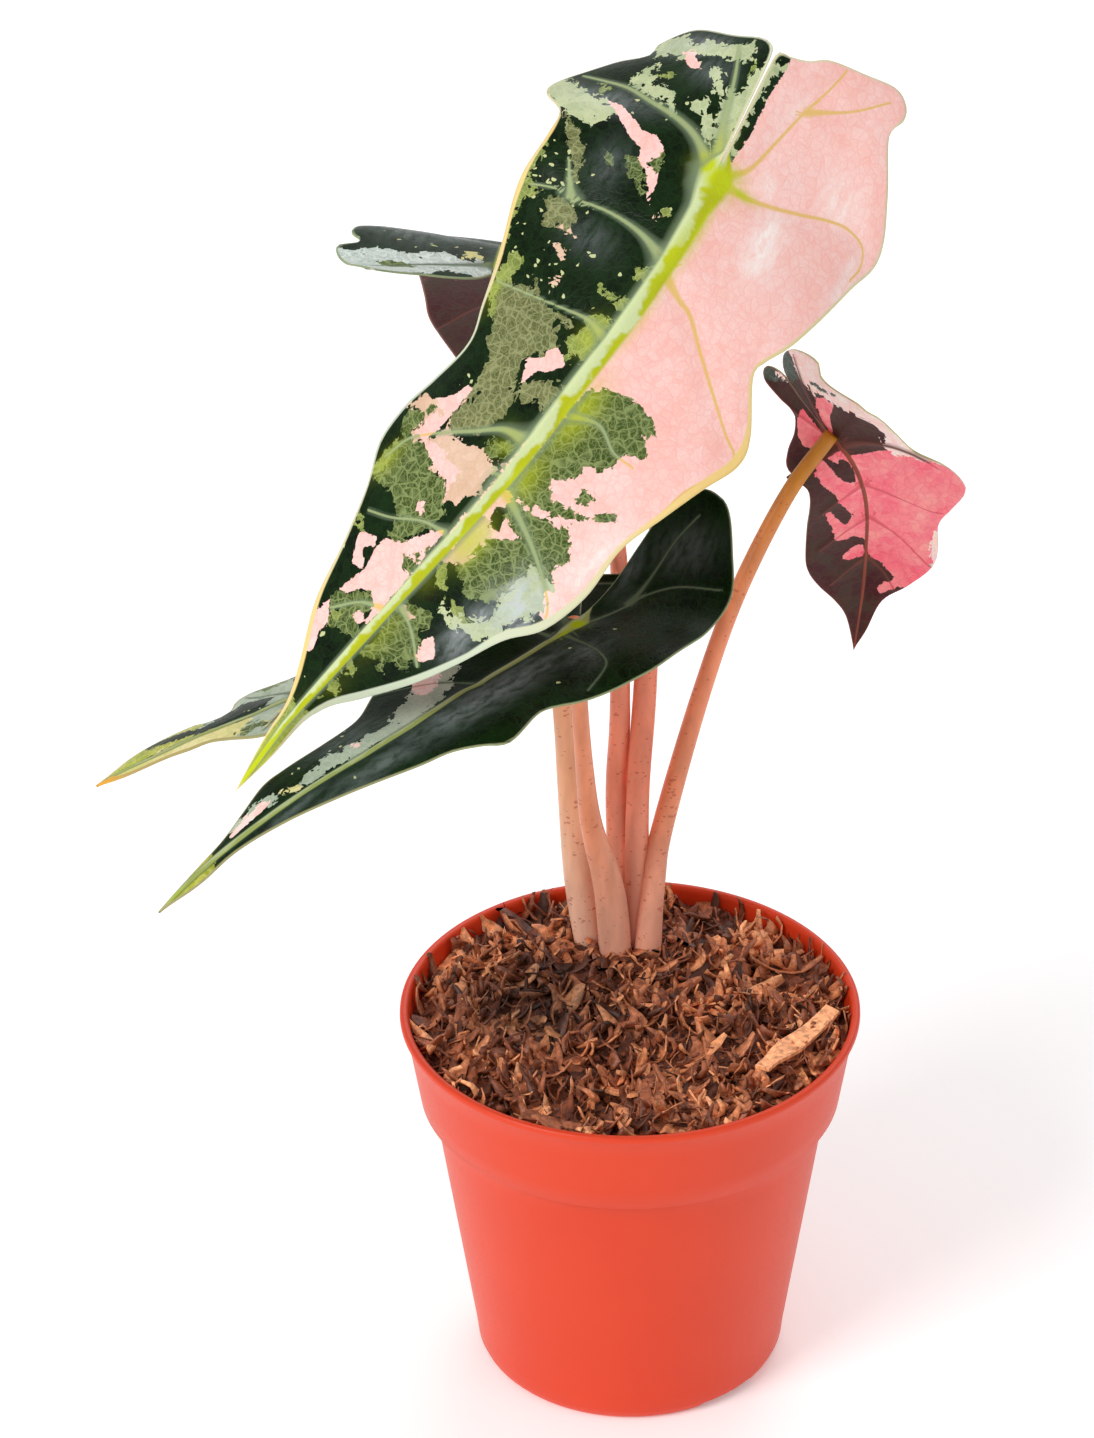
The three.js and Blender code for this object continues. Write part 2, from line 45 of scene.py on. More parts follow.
# Camera, floor and light
# The plant stands on a white light table under soft studio light. The camera looks down at it
# from the front, from far enough away to flatten it, and the plant stands right of the middle.
MM = 0.001
CAMERA_AIM_HEIGHT = 192.86 * MM
CAMERA_DISTANCE = 1.5
CAMERA_ELEVATION = math.radians(31.52)
CAMERA_LENS = 148.56
CAMERA_SHIFT = -0.0577
FLOOR_HALF = 4000
FLOOR_GLOW = 0.16
WHITE = "#ffffff"
WORLD_STRENGTH = 0.57
LIGHT_AIM = (0, 0, 0.2)
LIGHTS = [  # name, place, width of the disc and watts
    ("key", (-1.5, -1.4, 1.7), 1.2, 35),
    ("fill", (1.7, -1.3, 1.1), 1.6, 4),
    ("back", (0.4, 1.6, 1.6), 1.4, 12),
]


def linear(hex_colour):
    """The linear RGBA of an sRGB colour written as #rrggbb."""
    parts = [int(hex_colour[i:i + 2], 16) / 255 for i in (1, 3, 5)]
    return [p / 12.92 if p <= 0.04045 else ((p + 0.055) / 1.055) ** 2.4 for p in parts] + [1.0]


def add(tree, kind, inputs=(), out=None, **settings):
    """Adds a node with its settings, links or sets its inputs, by name or in their order, and
    returns one output. A shader node's kind has no prefix, and a Mix node mixes colours."""
    family = "" if kind.startswith(("Geometry", "Function")) else "ShaderNode"
    made = tree.nodes.new(family + kind)
    for name, value in {**({"data_type": "RGBA"} if kind == "Mix" else {}), **settings}.items():
        setattr(made, name, value)
    sockets = [s for s in made.inputs if s.enabled]
    if isinstance(inputs, dict):
        sockets = [next(s for s in sockets if s.name == name) for name in inputs]
        inputs = inputs.values()
    for socket, value in zip(sockets, inputs):
        if isinstance(value, bpy.types.NodeSocket):
            tree.links.new(value, socket)
        else:
            socket.default_value = value
    return made.outputs[out] if out else next((s for s in made.outputs if s.enabled), made)


def new_material(name):
    """An empty material and its tree."""
    material = bpy.data.materials.new(name)
    material.use_nodes = True
    material.node_tree.nodes.clear()
    return material, material.node_tree


def mesh_object(name, points, faces, smooth=True):
    """A mesh object from points in millimetres. Its place is in its mesh."""
    mesh = bpy.data.meshes.new(name)
    mesh.from_pydata((np.asarray(points) * MM).tolist(), [], [list(map(int, f)) for f in faces])
    mesh.polygons.foreach_set("use_smooth", [smooth] * len(mesh.polygons))
    mesh.update()
    made = bpy.data.objects.new(name, mesh)
    bpy.context.scene.collection.objects.link(made)
    return made


camera = bpy.data.objects.new("camera", bpy.data.cameras.new("camera"))
camera.data.lens = CAMERA_LENS
camera.data.shift_x = CAMERA_SHIFT
camera.location = (0, -CAMERA_DISTANCE * math.cos(CAMERA_ELEVATION),
                   CAMERA_AIM_HEIGHT + CAMERA_DISTANCE * math.sin(CAMERA_ELEVATION))
camera.rotation_euler = (math.pi / 2 - CAMERA_ELEVATION, 0, 0)
bpy.context.scene.collection.objects.link(camera)
bpy.context.scene.camera = camera
bpy.context.scene.view_settings.view_transform = "Standard"

for name, place, size, watts in LIGHTS:
    lamp = bpy.data.objects.new(name + "_light", bpy.data.lights.new(name + "_light", "AREA"))
    lamp.data.shape = "DISK"
    lamp.data.size = size
    lamp.data.energy = watts
    lamp.location = place
    aim = Vector(LIGHT_AIM) - Vector(place)
    lamp.rotation_euler = aim.to_track_quat("-Z", "Y").to_euler()
    bpy.context.scene.collection.objects.link(lamp)

world = bpy.data.worlds.new("studio")
bpy.context.scene.world = world
world.use_nodes = True
world.node_tree.nodes["Background"].inputs["Color"].default_value = linear(WHITE)
world.node_tree.nodes["Background"].inputs["Strength"].default_value = WORLD_STRENGTH

# Satin acrylic, the top of a light table: white, matt and faintly lit from below.
floor_material, tree = new_material("acrylic_light_table")
place = add(tree, "TexCoord", out="Object")
grain = add(tree, "TexNoise", {"Vector": place, "Scale": 60.0, "Detail": 4.0})
bump = add(tree, "Bump", {"Height": grain, "Strength": 0.02, "Distance": 0.001})
add(tree, "OutputMaterial", [add(tree, "BsdfPrincipled", {
    "Base Color": linear(WHITE), "Roughness": 0.7, "Normal": bump,
    "Emission Color": linear(WHITE), "Emission Strength": FLOOR_GLOW})])
corners = [(x * FLOOR_HALF, y * FLOOR_HALF, 0) for x, y in ((-1, -1), (1, -1), (1, 1), (-1, 1))]
floor = mesh_object("floor", corners, [(0, 1, 2, 3)], smooth=False)
floor.data.materials.append(floor_material)


# Pot
# A thin injection-moulded polypropylene nursery pot, 12 cm across: a tapered body with a wider
# collar and a rounded lip, three feet left by notches in its foot, and six drain holes.
POT_OUTSIDE = [(0, 0.6), (30, 0.6), (36, 0), (37.7, 0), (38.9, 0.5), (39.9, 1.6), (40.8, 3.6),
               (41.3, 8), (51.75, 78.6), (52.05, 79.3), (52.6, 79.6), (54.6, 79.8), (55.05, 80.3),
               (58.7, 102.9), (59.1, 103.4), (59.8, 103.6), (60, 104), (59.95, 104.9),
               (59.6, 105.35), (59.1, 105.5)]
POT_INSIDE = [(58.3, 105.4), (57.85, 105), (57.6, 104.2), (57.5, 103.1), (53.75, 81.6),
              (50.5, 77.5), (40, 8), (39.2, 3.8), (37.5, 2.2), (0, 2.2)]
POT_SEGMENTS = 144
POT_STEP = 6.0
NOTCH_ANGLES = (41, 161, 281)
NOTCH_SIZE = (18, 12, 4.4)
NOTCH_ROUNDING = 1.2
NOTCH_RING = 38.7
DRAIN_HOLES = 6
DRAIN_RADIUS = 3.5
DRAIN_DEPTH = 10
DRAIN_RING = 24
SHARP_EDGE = math.radians(40)
POT_RED = "#e0421c"
POT_SHADE = "#d43a17"


def refine(profile, step):
    """The profile with its long straight stretches cut into pieces of about one step."""
    fine = [profile[0]]
    for start, end in zip(profile, profile[1:]):
        pieces = max(1, round(math.dist(start, end) / step))
        for i in range(1, pieces + 1):
            fine.append(tuple(a + (b - a) * i / pieces for a, b in zip(start, end)))
    return fine


def circle(radius, height, segments):
    """A ring of points round Z, or a single one on the axis."""
    angles = 2 * np.pi * np.arange(segments if radius else 1) / segments
    return np.stack([radius * np.cos(angles), radius * np.sin(angles), 0 * angles + height], 1)


def loft(name, rings, smooth=True, by_column=False):
    """A closed solid through rings of points, in millimetres. It narrows to a tip at a first and
    last ring of one point, and otherwise ends flat."""
    sides, starts = len(rings[1]), np.cumsum([0] + [len(ring) for ring in rings])
    index = np.array([start + np.arange(sides) % len(ring) for start, ring in zip(starts, rings)])
    after = np.roll(index, -1, axis=1)
    faces = np.stack([index[:-1], after[:-1], after[1:], index[1:]], -1)
    if by_column:
        faces = faces.swapaxes(0, 1)
    faces = [list(dict.fromkeys(face)) for face in faces.reshape(-1, 4).tolist()]
    if len(rings[0]) > 1:
        faces += [index[0, ::-1], index[-1]]
    return mesh_object(name, np.vstack(rings), faces, smooth)


def applied(piece):
    """Turns the piece's modifiers into its plain mesh."""
    graph = bpy.context.evaluated_depsgraph_get()
    mesh = bpy.data.meshes.new_from_object(piece.evaluated_get(graph))
    piece.modifiers.clear()
    piece.data = mesh


def cut_out(piece, shape, turn=0.0, place=(0, 0, 0)):
    """Cuts a shape out of the piece once its modifiers are applied, and returns the cutter."""
    mesh = bpy.data.meshes.new("cutter")
    shape.to_mesh(mesh)
    shape.free()
    cutter = bpy.data.objects.new("cutter", mesh)
    cutter.rotation_euler.z = turn
    cutter.location = place
    bpy.context.scene.collection.objects.link(cutter)
    cut = piece.modifiers.new("cut", "BOOLEAN")
    cut.operation = "DIFFERENCE"
    cut.solver = "EXACT"
    cut.object = cutter
    return cutter


pot = loft("nursery_pot", [circle(radius, height, POT_SEGMENTS) for radius, height in
                           refine(POT_OUTSIDE + POT_INSIDE, POT_STEP)])
cutters = []
for angle in NOTCH_ANGLES:
    notch = bmesh.new()
    bmesh.ops.create_cube(notch, size=1)
    bmesh.ops.scale(notch, vec=Vector(NOTCH_SIZE) * MM, verts=notch.verts)
    bmesh.ops.bevel(notch, geom=notch.edges[:], offset=NOTCH_ROUNDING * MM, segments=4,
                    profile=0.5, affect="EDGES")
    bmesh.ops.translate(notch, vec=(0, -NOTCH_RING * MM, 0), verts=notch.verts)
    cutters.append(cut_out(pot, notch, turn=math.radians(angle)))
for i in range(DRAIN_HOLES):
    angle = 2 * math.pi * (i + 0.5) / DRAIN_HOLES
    hole = bmesh.new()
    bmesh.ops.create_cone(hole, cap_ends=True, segments=32, radius1=DRAIN_RADIUS * MM,
                          radius2=DRAIN_RADIUS * MM, depth=DRAIN_DEPTH * MM)
    cutters.append(cut_out(pot, hole, place=(DRAIN_RING * MM * math.cos(angle),
                                             DRAIN_RING * MM * math.sin(angle), 0)))
applied(pot)
for cutter in cutters:
    bpy.data.objects.remove(cutter)
shading = bmesh.new()
shading.from_mesh(pot.data)
for edge in shading.edges:
    edge.smooth = len(edge.link_faces) == 2 and edge.calc_face_angle() < SHARP_EDGE
shading.to_mesh(pot.data)
shading.free()

# Polypropylene, moulded satin: even orange-red, a soft broad gloss, a faint flow mottle and
# fine scuffs that only break up the highlight. A pattern's Scale is how often it repeats in a
# metre, so the mottle is 36 mm and the scuffs are 1.1 mm.
pot_material, tree = new_material("moulded_polypropylene")
place = add(tree, "TexCoord", out="Object")
flow = add(tree, "TexNoise", {"Vector": place, "Scale": 28.0, "Detail": 3.0})
colour = add(tree, "Mix", [flow, linear(POT_RED), linear(POT_SHADE)])
scuffs = add(tree, "TexNoise", {"Vector": place, "Scale": 900.0, "Detail": 2.0})
gloss = add(tree, "MapRange", [scuffs, 0, 1, 0.34, 0.48])
bump = add(tree, "Bump", {"Height": scuffs, "Strength": 0.04, "Distance": 0.0002})
add(tree, "OutputMaterial", [add(tree, "BsdfPrincipled", {
    "Base Color": colour, "Roughness": gloss, "Normal": bump, "IOR": 1.49,
    "Specular IOR Level": 0.35, "Subsurface Weight": 0.05, "Subsurface Scale": 0.002})])
pot.data.materials.clear()
pot.data.materials.append(pot_material)
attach(pot, "root")
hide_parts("pot")


# Growing mix
# Chopped bark, coir and curled shavings, filled to just under the pot's lip and mounded at the
# crown. A plug carries the loose chips and fibres that are strewn over its top.
CROWN = (-2, 31)
MIX_LEVEL = 101.3
MIX_MOUND = 3.5
MIX_MOUND_WIDTH = 26
MIX_LUMP = 0.9
MIX_CRUMB = (-1.3, 0.1)
MIX_EDGE = 56.7
PLUG_SEED, CHIP_SEED, STRIP_SEED = 3, 11, 2
MIX_RINGS = 56
MIX_SEGMENTS = 128
MIX_SIDE = [(0, 2.4), (37, 2.4), (38.9, 4.4), (39.7, 8.2), (50.2, 77.9), (53.4, 81.9)]
HIGHEST_CHIP = 106.6
WALL_RADIUS = 39.2
WALL_SLOPE = 0.1744
BARK_DARK = "#1f0e08"
BARK_MID = "#8a4a2e"
BARK_LIGHT = "#d8895a"
BARK_TAN = "#ffb27c"
DARK_SPOT = (-25, 6, 104)
DARK_SPOT_NEAR = 6
DARK_SPOT_FAR = 28
STRIP_SHAPE = (33, 6.6, 1.0, 16, 14, 0.4)
STRIP_PLACE = (43, -16.5, 105.3)
STRIP_TURN = math.radians(55)
STRIP_TONE = 0.97
# Each layer: its kinds of chip (length, width, thickness, curl, twist, sharpness), how many lie
# on a square metre, how far they tilt, in radians, and their lightest tone
CHIP_LAYERS = {
    "crumb": ([(3.5, 1.8, 0.8, 30, 20, 0.5), (5, 1.3, 0.6, 50, 60, 0.7),
               (4.2, 2.4, 0.7, 20, 30, 0.6)], 70000, 0.5, 0.3),
    "shaving": ([(18, 3.8, 0.5, 150, 90, 0.65), (15, 3.2, 0.45, 200, 140, 0.7),
                 (20, 4.4, 0.5, 110, 60, 0.75), (14, 5.2, 0.5, 90, 50, 0.8),
                 (17, 2.8, 0.45, 240, 60, 0.6), (13, 3.8, 0.5, 60, 160, 0.8)], 58000, 0.6, 1.0),
    "bark": ([(15, 5.2, 1.0, 20, 15, 0.55), (12, 5.8, 1.2, 15, 10, 0.5),
              (18, 3.8, 0.8, 35, 25, 0.8)], 9000, 0.4, 1.0),
    "fibre": ([(17, 0.45, 0.35, 60, 30, 0.5), (22, 0.4, 0.3, 95, 60, 0.4)], 7000, 0.15, 1.0),
}
CHIP_SECTIONS = 8
CHIP_SWAY = 0.16
CHIP_JITTER = (0.8, 1.15)
CHIP_SCALES = ((0.65, 0.7, 0.8), (1.25, 1.3, 1.2))
CHIP_PICKS = 20
TOP_FACING = 0.2
SMOOTH_CURL = 40


def mix_height(x, y):
    """The height of the mix's top, in millimetres."""
    from_crown = np.hypot(x - CROWN[0], y - CROWN[1])
    mound = MIX_MOUND * np.exp(-((from_crown / MIX_MOUND_WIDTH) ** 2))
    small = np.sin(x * 0.31 + 1) * np.cos(y * 0.27)
    broad = np.sin(x * 0.11 - y * 0.19)
    return MIX_LEVEL + mound + MIX_LUMP * (small + 0.7 * broad)


def mix_plug():
    """The plug of mix: a closed solid that follows the pot's inside and has a crumbly top."""
    rings = [circle(radius, height, MIX_SEGMENTS) for radius, height in MIX_SIDE]
    rng = np.random.default_rng(PLUG_SEED)
    for i in range(MIX_RINGS):
        radius = MIX_EDGE * (1 - i / MIX_RINGS)
        ring = circle(radius, 0, MIX_SEGMENTS)
        crumb = rng.uniform(*MIX_CRUMB, MIX_SEGMENTS) * min(1, radius / 8)
        ring[:, 2] = mix_height(ring[:, 0], ring[:, 1]) - 1.0 + crumb
        rings.append(ring)
    rings.append([(0, 0, mix_height(0.0, 0.0) - 1.5)])
    return loft("growing_mix_top", rings, smooth=False, by_column=True)


def chip_shape(name, length, width, thick, curl, twist, sharp, rng):
    """One flat sliver along X: width narrows to its ends by sharp, and it curls and twists."""
    rings = []
    sway, bow = rng.uniform(-CHIP_SWAY, CHIP_SWAY, 2) * length * min(1, curl / 100)
    for i in range(CHIP_SECTIONS):
        s = i / (CHIP_SECTIONS - 1) - 0.5
        half = width / 2 * (1 - sharp * (2 * abs(s)) ** 1.6) * rng.uniform(*CHIP_JITTER)
        bend = math.radians(curl) * s
        radius = length / math.radians(curl)
        centre = np.array([radius * math.sin(bend),
                           sway * math.sin(2 * math.pi * s) + bow * (2 * s) ** 2,
                           radius * (1 - math.cos(bend))])
        turn = math.radians(twist) * s
        across = np.array([0, math.cos(turn), math.sin(turn)])
        up = np.array([-math.sin(bend), 0, math.cos(bend)])
        rings.append([centre + across * half * side + up * thick / 2 * face
                      for side, face in ((-1, -1), (1, -1), (1, 1), (-1, 1))])
    return loft(name, rings, smooth=curl > SMOOTH_CURL)


def set_attribute(piece, name, values):
    """Stores one number a point, which the piece's materials read by name."""
    layer = piece.data.attributes.new(name, "FLOAT", "POINT")
    layer.data.foreach_set("value", np.asarray(values, np.float32))


# Peaty coir between the chips: almost black-brown, matt and damp, in crumbs of 1.4 mm.
coir_material, tree = new_material("damp_coir_peat")
place = add(tree, "TexCoord", out="Object")
crumbs = add(tree, "TexVoronoi", {"Vector": place, "Scale": 700.0})
colour = add(tree, "Mix", [crumbs, linear(BARK_DARK), linear(BARK_MID)])
bump = add(tree, "Bump", {"Height": crumbs, "Strength": 0.8, "Distance": 0.001})
add(tree, "OutputMaterial", [add(tree, "BsdfPrincipled", {
    "Base Color": colour, "Roughness": 0.95, "Normal": bump})])

# Chopped pine bark and shavings: each chip has its own brown, from dark to tan, streaked along
# the grain every 2.4 mm. They are darker round one spot left of the crown, and lighter further off.
bark_material, tree = new_material("chopped_bark")
place = add(tree, "TexCoord", out="Object")
tone = add(tree, "Attribute", out="Fac", attribute_name="tone")
ramp = add(tree, "ValToRGB", [tone])
stops = ramp.node.color_ramp.elements
stops[0].color, stops[1].color = linear("#43200f"), linear(BARK_TAN)
for position, shade in ((0.35, BARK_MID), (0.6, "#b26a46"), (0.85, BARK_LIGHT)):
    stops.new(position).color = linear(shade)
streaks = add(tree, "TexNoise", {"Vector": place, "Scale": 420.0, "Detail": 4.0,
                                 "Distortion": 1.5})
streak = add(tree, "MapRange", [streaks, 0.35, 0.7, 0.5, 1.3])
# Darker round the spot left of the crown, lighter further off
away = add(tree, "VectorMath", [place, [c * MM for c in DARK_SPOT]], out="Value",
           operation="DISTANCE")
spot_tone = add(tree, "MapRange", [away, DARK_SPOT_NEAR * MM, DARK_SPOT_FAR * MM, 0.42, 1.3])
streak = add(tree, "Math", [streak, spot_tone], operation="MULTIPLY")
colour = add(tree, "VectorMath", [ramp, streak], operation="SCALE")
bump = add(tree, "Bump", {"Height": streaks, "Strength": 0.4, "Distance": 0.0004})
add(tree, "OutputMaterial", [add(tree, "BsdfPrincipled", {
    "Base Color": colour, "Roughness": 0.5, "Normal": bump})])

# The nodes that strew each layer's chips over the plug's top, kept inside the pot's wall
mix = mix_plug()
tree = bpy.data.node_groups.new("strewn_mix", "GeometryNodeTree")
for way in ("INPUT", "OUTPUT"):
    tree.interface.new_socket("Geometry", in_out=way, socket_type="NodeSocketGeometry")
plug = tree.nodes.new("NodeGroupInput").outputs["Geometry"]
normal = add(tree, "GeometryNodeInputNormal", out="Normal")
up = add(tree, "SeparateXYZ", [normal], out="Z")
on_top = add(tree, "FunctionNodeCompare", [up, TOP_FACING], data_type="FLOAT", operation="GREATER_THAN")
place = add(tree, "GeometryNodeInputPosition")
height = add(tree, "SeparateXYZ", [place], out="Z")
from_axis = add(tree, "VectorMath", [place, (1, 1, 0)], operation="MULTIPLY")
from_axis = add(tree, "VectorMath", [from_axis], out="Value", operation="LENGTH")
wall = add(tree, "Math", [height, WALL_SLOPE, WALL_RADIUS * MM], operation="MULTIPLY_ADD")
inward = add(tree, "Math", [wall, from_axis], operation="DIVIDE")
inward = add(tree, "Math", [inward, 1.0], operation="MINIMUM")
inward = add(tree, "CombineXYZ", [inward, inward, 1.0])
inward = add(tree, "VectorMath", [place, inward], operation="MULTIPLY")
inward = add(tree, "VectorMath", [inward, (1, 1, HIGHEST_CHIP * MM)], operation="MINIMUM")
joined = tree.nodes.new("GeometryNodeJoinGeometry")
chips, groups = [], []
chip_random = np.random.default_rng(CHIP_SEED)
for seed, (layer, (kinds, density, tilt, lightest)) in enumerate(CHIP_LAYERS.items()):
    groups.append(bpy.data.collections.new(layer + "_chips"))
    bpy.context.scene.collection.children.link(groups[-1])
    for i, kind in enumerate(kinds):
        chips.append(chip_shape(f"{layer}_{i}", *kind, chip_random))
        bpy.context.scene.collection.objects.unlink(chips[-1])
        groups[-1].objects.link(chips[-1])
    spread = add(tree, "GeometryNodeDistributePointsOnFaces", {
        "Mesh": plug, "Selection": on_top, "Seed": seed, "Density": density}, out="Points")
    layer_chips = add(tree, "GeometryNodeCollectionInfo", {
        "Collection": groups[-1], "Separate Children": True, "Reset Children": True})
    pick = add(tree, "FunctionNodeRandomValue", {"Min": 0, "Max": CHIP_PICKS, "Seed": seed},
               data_type="INT")
    turn, size = [add(tree, "FunctionNodeRandomValue", {"Min": low, "Max": high, "Seed": seed},
                      data_type="FLOAT_VECTOR")
                  for low, high in (((-tilt, -tilt, 0), (tilt, tilt, 6.283)), CHIP_SCALES)]
    tone = add(tree, "FunctionNodeRandomValue", {"Min": 0.0, "Max": lightest, "Seed": seed},
               data_type="FLOAT")
    placed = add(tree, "GeometryNodeInstanceOnPoints", {
        "Points": spread, "Instance": layer_chips, "Pick Instance": True,
        "Instance Index": pick, "Rotation": turn, "Scale": size})
    toned = add(tree, "GeometryNodeStoreNamedAttribute", {
        "Geometry": placed, "Name": "tone", "Value": tone}, data_type="FLOAT", domain="INSTANCE")
    real = add(tree, "GeometryNodeRealizeInstances", {"Geometry": toned})
    held = add(tree, "GeometryNodeSetPosition", {"Geometry": real, "Position": inward})
    barky = add(tree, "GeometryNodeSetMaterial", {"Geometry": held, "Material": bark_material})
    tree.links.new(barky, joined.inputs["Geometry"])
peaty = add(tree, "GeometryNodeSetMaterial", {"Geometry": plug, "Material": coir_material})
tree.links.new(peaty, joined.inputs["Geometry"])
tree.links.new(joined.outputs["Geometry"], tree.nodes.new("NodeGroupOutput").inputs[0])
mix.modifiers.new("strewn", "NODES").node_group = tree
applied(mix)
for chip in chips:
    bpy.data.objects.remove(chip)
for group in groups:
    bpy.data.collections.remove(group)

# One long tan strip of bark lies on top, at the right in front
strip = chip_shape("strip", *STRIP_SHAPE, np.random.default_rng(STRIP_SEED))
strip.data.transform(Matrix.Translation(Vector(STRIP_PLACE) * MM)
                     @ Matrix.Rotation(STRIP_TURN, 4, "Z"))
bark_slot = mix.data.materials.find(bark_material.name)
strip.data.polygons.foreach_set("material_index", [bark_slot] * len(strip.data.polygons))
set_attribute(strip, "tone", [STRIP_TONE] * len(strip.data.vertices))
whole = bmesh.new()
whole.from_mesh(mix.data)
whole.from_mesh(strip.data)
whole.to_mesh(mix.data)
whole.free()
bpy.data.objects.remove(strip)
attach(mix, "root")
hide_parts("growing_mix")


# Corm
# The swollen underground stem that the stalks grow from, an upright egg under the crown. It is
# buried in the mix, so the solid itself stays, with a brown skin, papery in rings of 5.6 mm.
corm_material, tree = new_material("papery_corm_skin")
place = add(tree, "TexCoord", out="Object")
rings = add(tree, "TexWave", {"Vector": place, "Scale": 180.0, "Distortion": 3.0},
            bands_direction="Z")
colour = add(tree, "Mix", [rings, linear("#6d4a33"), linear("#94694a")])
bump = add(tree, "Bump", {"Height": rings, "Strength": 0.4, "Distance": 0.0005})
add(tree, "OutputMaterial", [add(tree, "BsdfPrincipled", {
    "Base Color": colour, "Roughness": 0.85, "Normal": bump})])
corm_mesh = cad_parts["corm"].data
corm_mesh.materials.clear()
corm_mesh.materials.append(corm_material)


# Leaf stalks
# Bare round petioles, firm and juicy: thick and wrapped round each other at the crown, slim
# under the leaf. They are salmon pink with fine dark red specks and paler towards the base.
STALK_SIDES = 20
STALK_RINGS = 110
STALK_SINK = 0.6
PALE_HEIGHT = 112
FLUSHED_HEIGHT = 150
SPECK_RED = "#b8442c"
# Each stalk: its colour at the mix, half way and under the leaf, then places up its middle,
# each with the stalk's radius there
STALKS = {
    1: (("#f4b096", "#f68e6c", "#f08a60"),
        [(2, 31.5, 84, 3.8), (1.8, 33, 121, 3.3), (2.1, 36.5, 148, 3), (3.7, 44, 171, 3.1),
         (6, 52, 206, 2.8), (11, 53, 240, 2.5), (16, 43, 290, 2.2), (19.5, 22, 328, 2),
         (20, 3.5, 342.5, 1.9)]),
    2: (("#f2b094", "#f29a72", "#ee9468"),
        [(-3, 29, 84, 4.4), (-5.1, 26, 122, 4.1), (-9.8, 22, 146, 3.0), (-11.7, 18.5, 166, 2.4),
         (-12.9, 14, 190, 2.1), (-14, 9.2, 215.8, 2)]),
    3: (("#fcc9ac", "#fcb98c", "#f8ac7e"),
        [(-8.3, 34, 84, 3.6), (-13.2, 35.5, 121, 4.1), (-16, 37, 151, 3.1), (-17.6, 38, 174, 2.6),
         (-21, 40.5, 208.5, 2)]),
    4: (("#f2b094", "#f89270", "#f08e66"),
        [(-2.2, 35.5, 84, 3.8), (-2.7, 36.5, 121, 3.2), (-3.3, 40.8, 147, 3.1), (-2.6, 44, 170, 2.7),
         (-3, 49.5, 211, 2.3), (-8, 50, 245, 2.1), (-24, 42, 285, 2), (-32, 31, 303.5, 1.9)]),
    5: (("#f2ac90", "#f8966a", "#c27c00"),
        [(4, 27, 84, 3.8), (4.8, 27.5, 106, 3.5), (6.4, 31, 125, 3), (8.6, 35.5, 138, 2.9),
         (18.8, 48, 172, 2.5), (28, 57.5, 196, 2.3), (40.8, 67, 220, 2.1), (52, 70, 236, 2)]),
}


def catmull_rom(points, spans):
    """A smooth curve through the points, as spans even steps of its parameter."""
    points = np.asarray(points, float)
    ends = np.vstack([2 * points[0] - points[1], points, 2 * points[-1] - points[-2]])
    t = np.linspace(0, len(points) - 1, spans + 1)
    i = np.minimum(t.astype(int), len(points) - 2)
    f = (t - i)[:, None]
    a, b, c, d = ends[i], ends[i + 1], ends[i + 2], ends[i + 3]
    return b + 0.5 * f * ((c - a) + f * ((2 * a - 5 * b + 4 * c - d)
                                         + f * (3 * b - a - 3 * c + d)))


def unit(vectors):
    """The same directions, one long."""
    return vectors / np.linalg.norm(vectors, axis=-1, keepdims=True)


def make_stalk(name, route):
    """A closed round tube along the route, with a slight wobble in its width."""
    curve = catmull_rom(route, STALK_RINGS)
    centres, radius = curve[:, :3], curve[:, 3:]
    along = unit(np.gradient(centres, axis=0))
    centres[-1] += along[-1] * STALK_SINK
    side = np.array([1.0, 0, 0])
    u = unit(side - (along @ side)[:, None] * along)
    v = np.cross(along, u)
    angle = 2 * np.pi * np.arange(STALK_SIDES) / STALK_SIDES
    share = np.linspace(0, 1, STALK_RINGS + 1)[:, None]
    slow, quick = np.sin(9 * share + 2 * angle), np.sin(23 * share - angle)
    wobble = 1 + 0.015 * slow + 0.01 * quick
    ring = radius[:, :, None] * wobble[:, :, None] * (
        np.cos(angle)[:, None] * u[:, None] + np.sin(angle)[:, None] * v[:, None])
    stalk = loft(name, centres[:, None] + ring)
    set_attribute(stalk, "up_stalk", np.repeat(share[:, 0], STALK_SIDES))
    return stalk


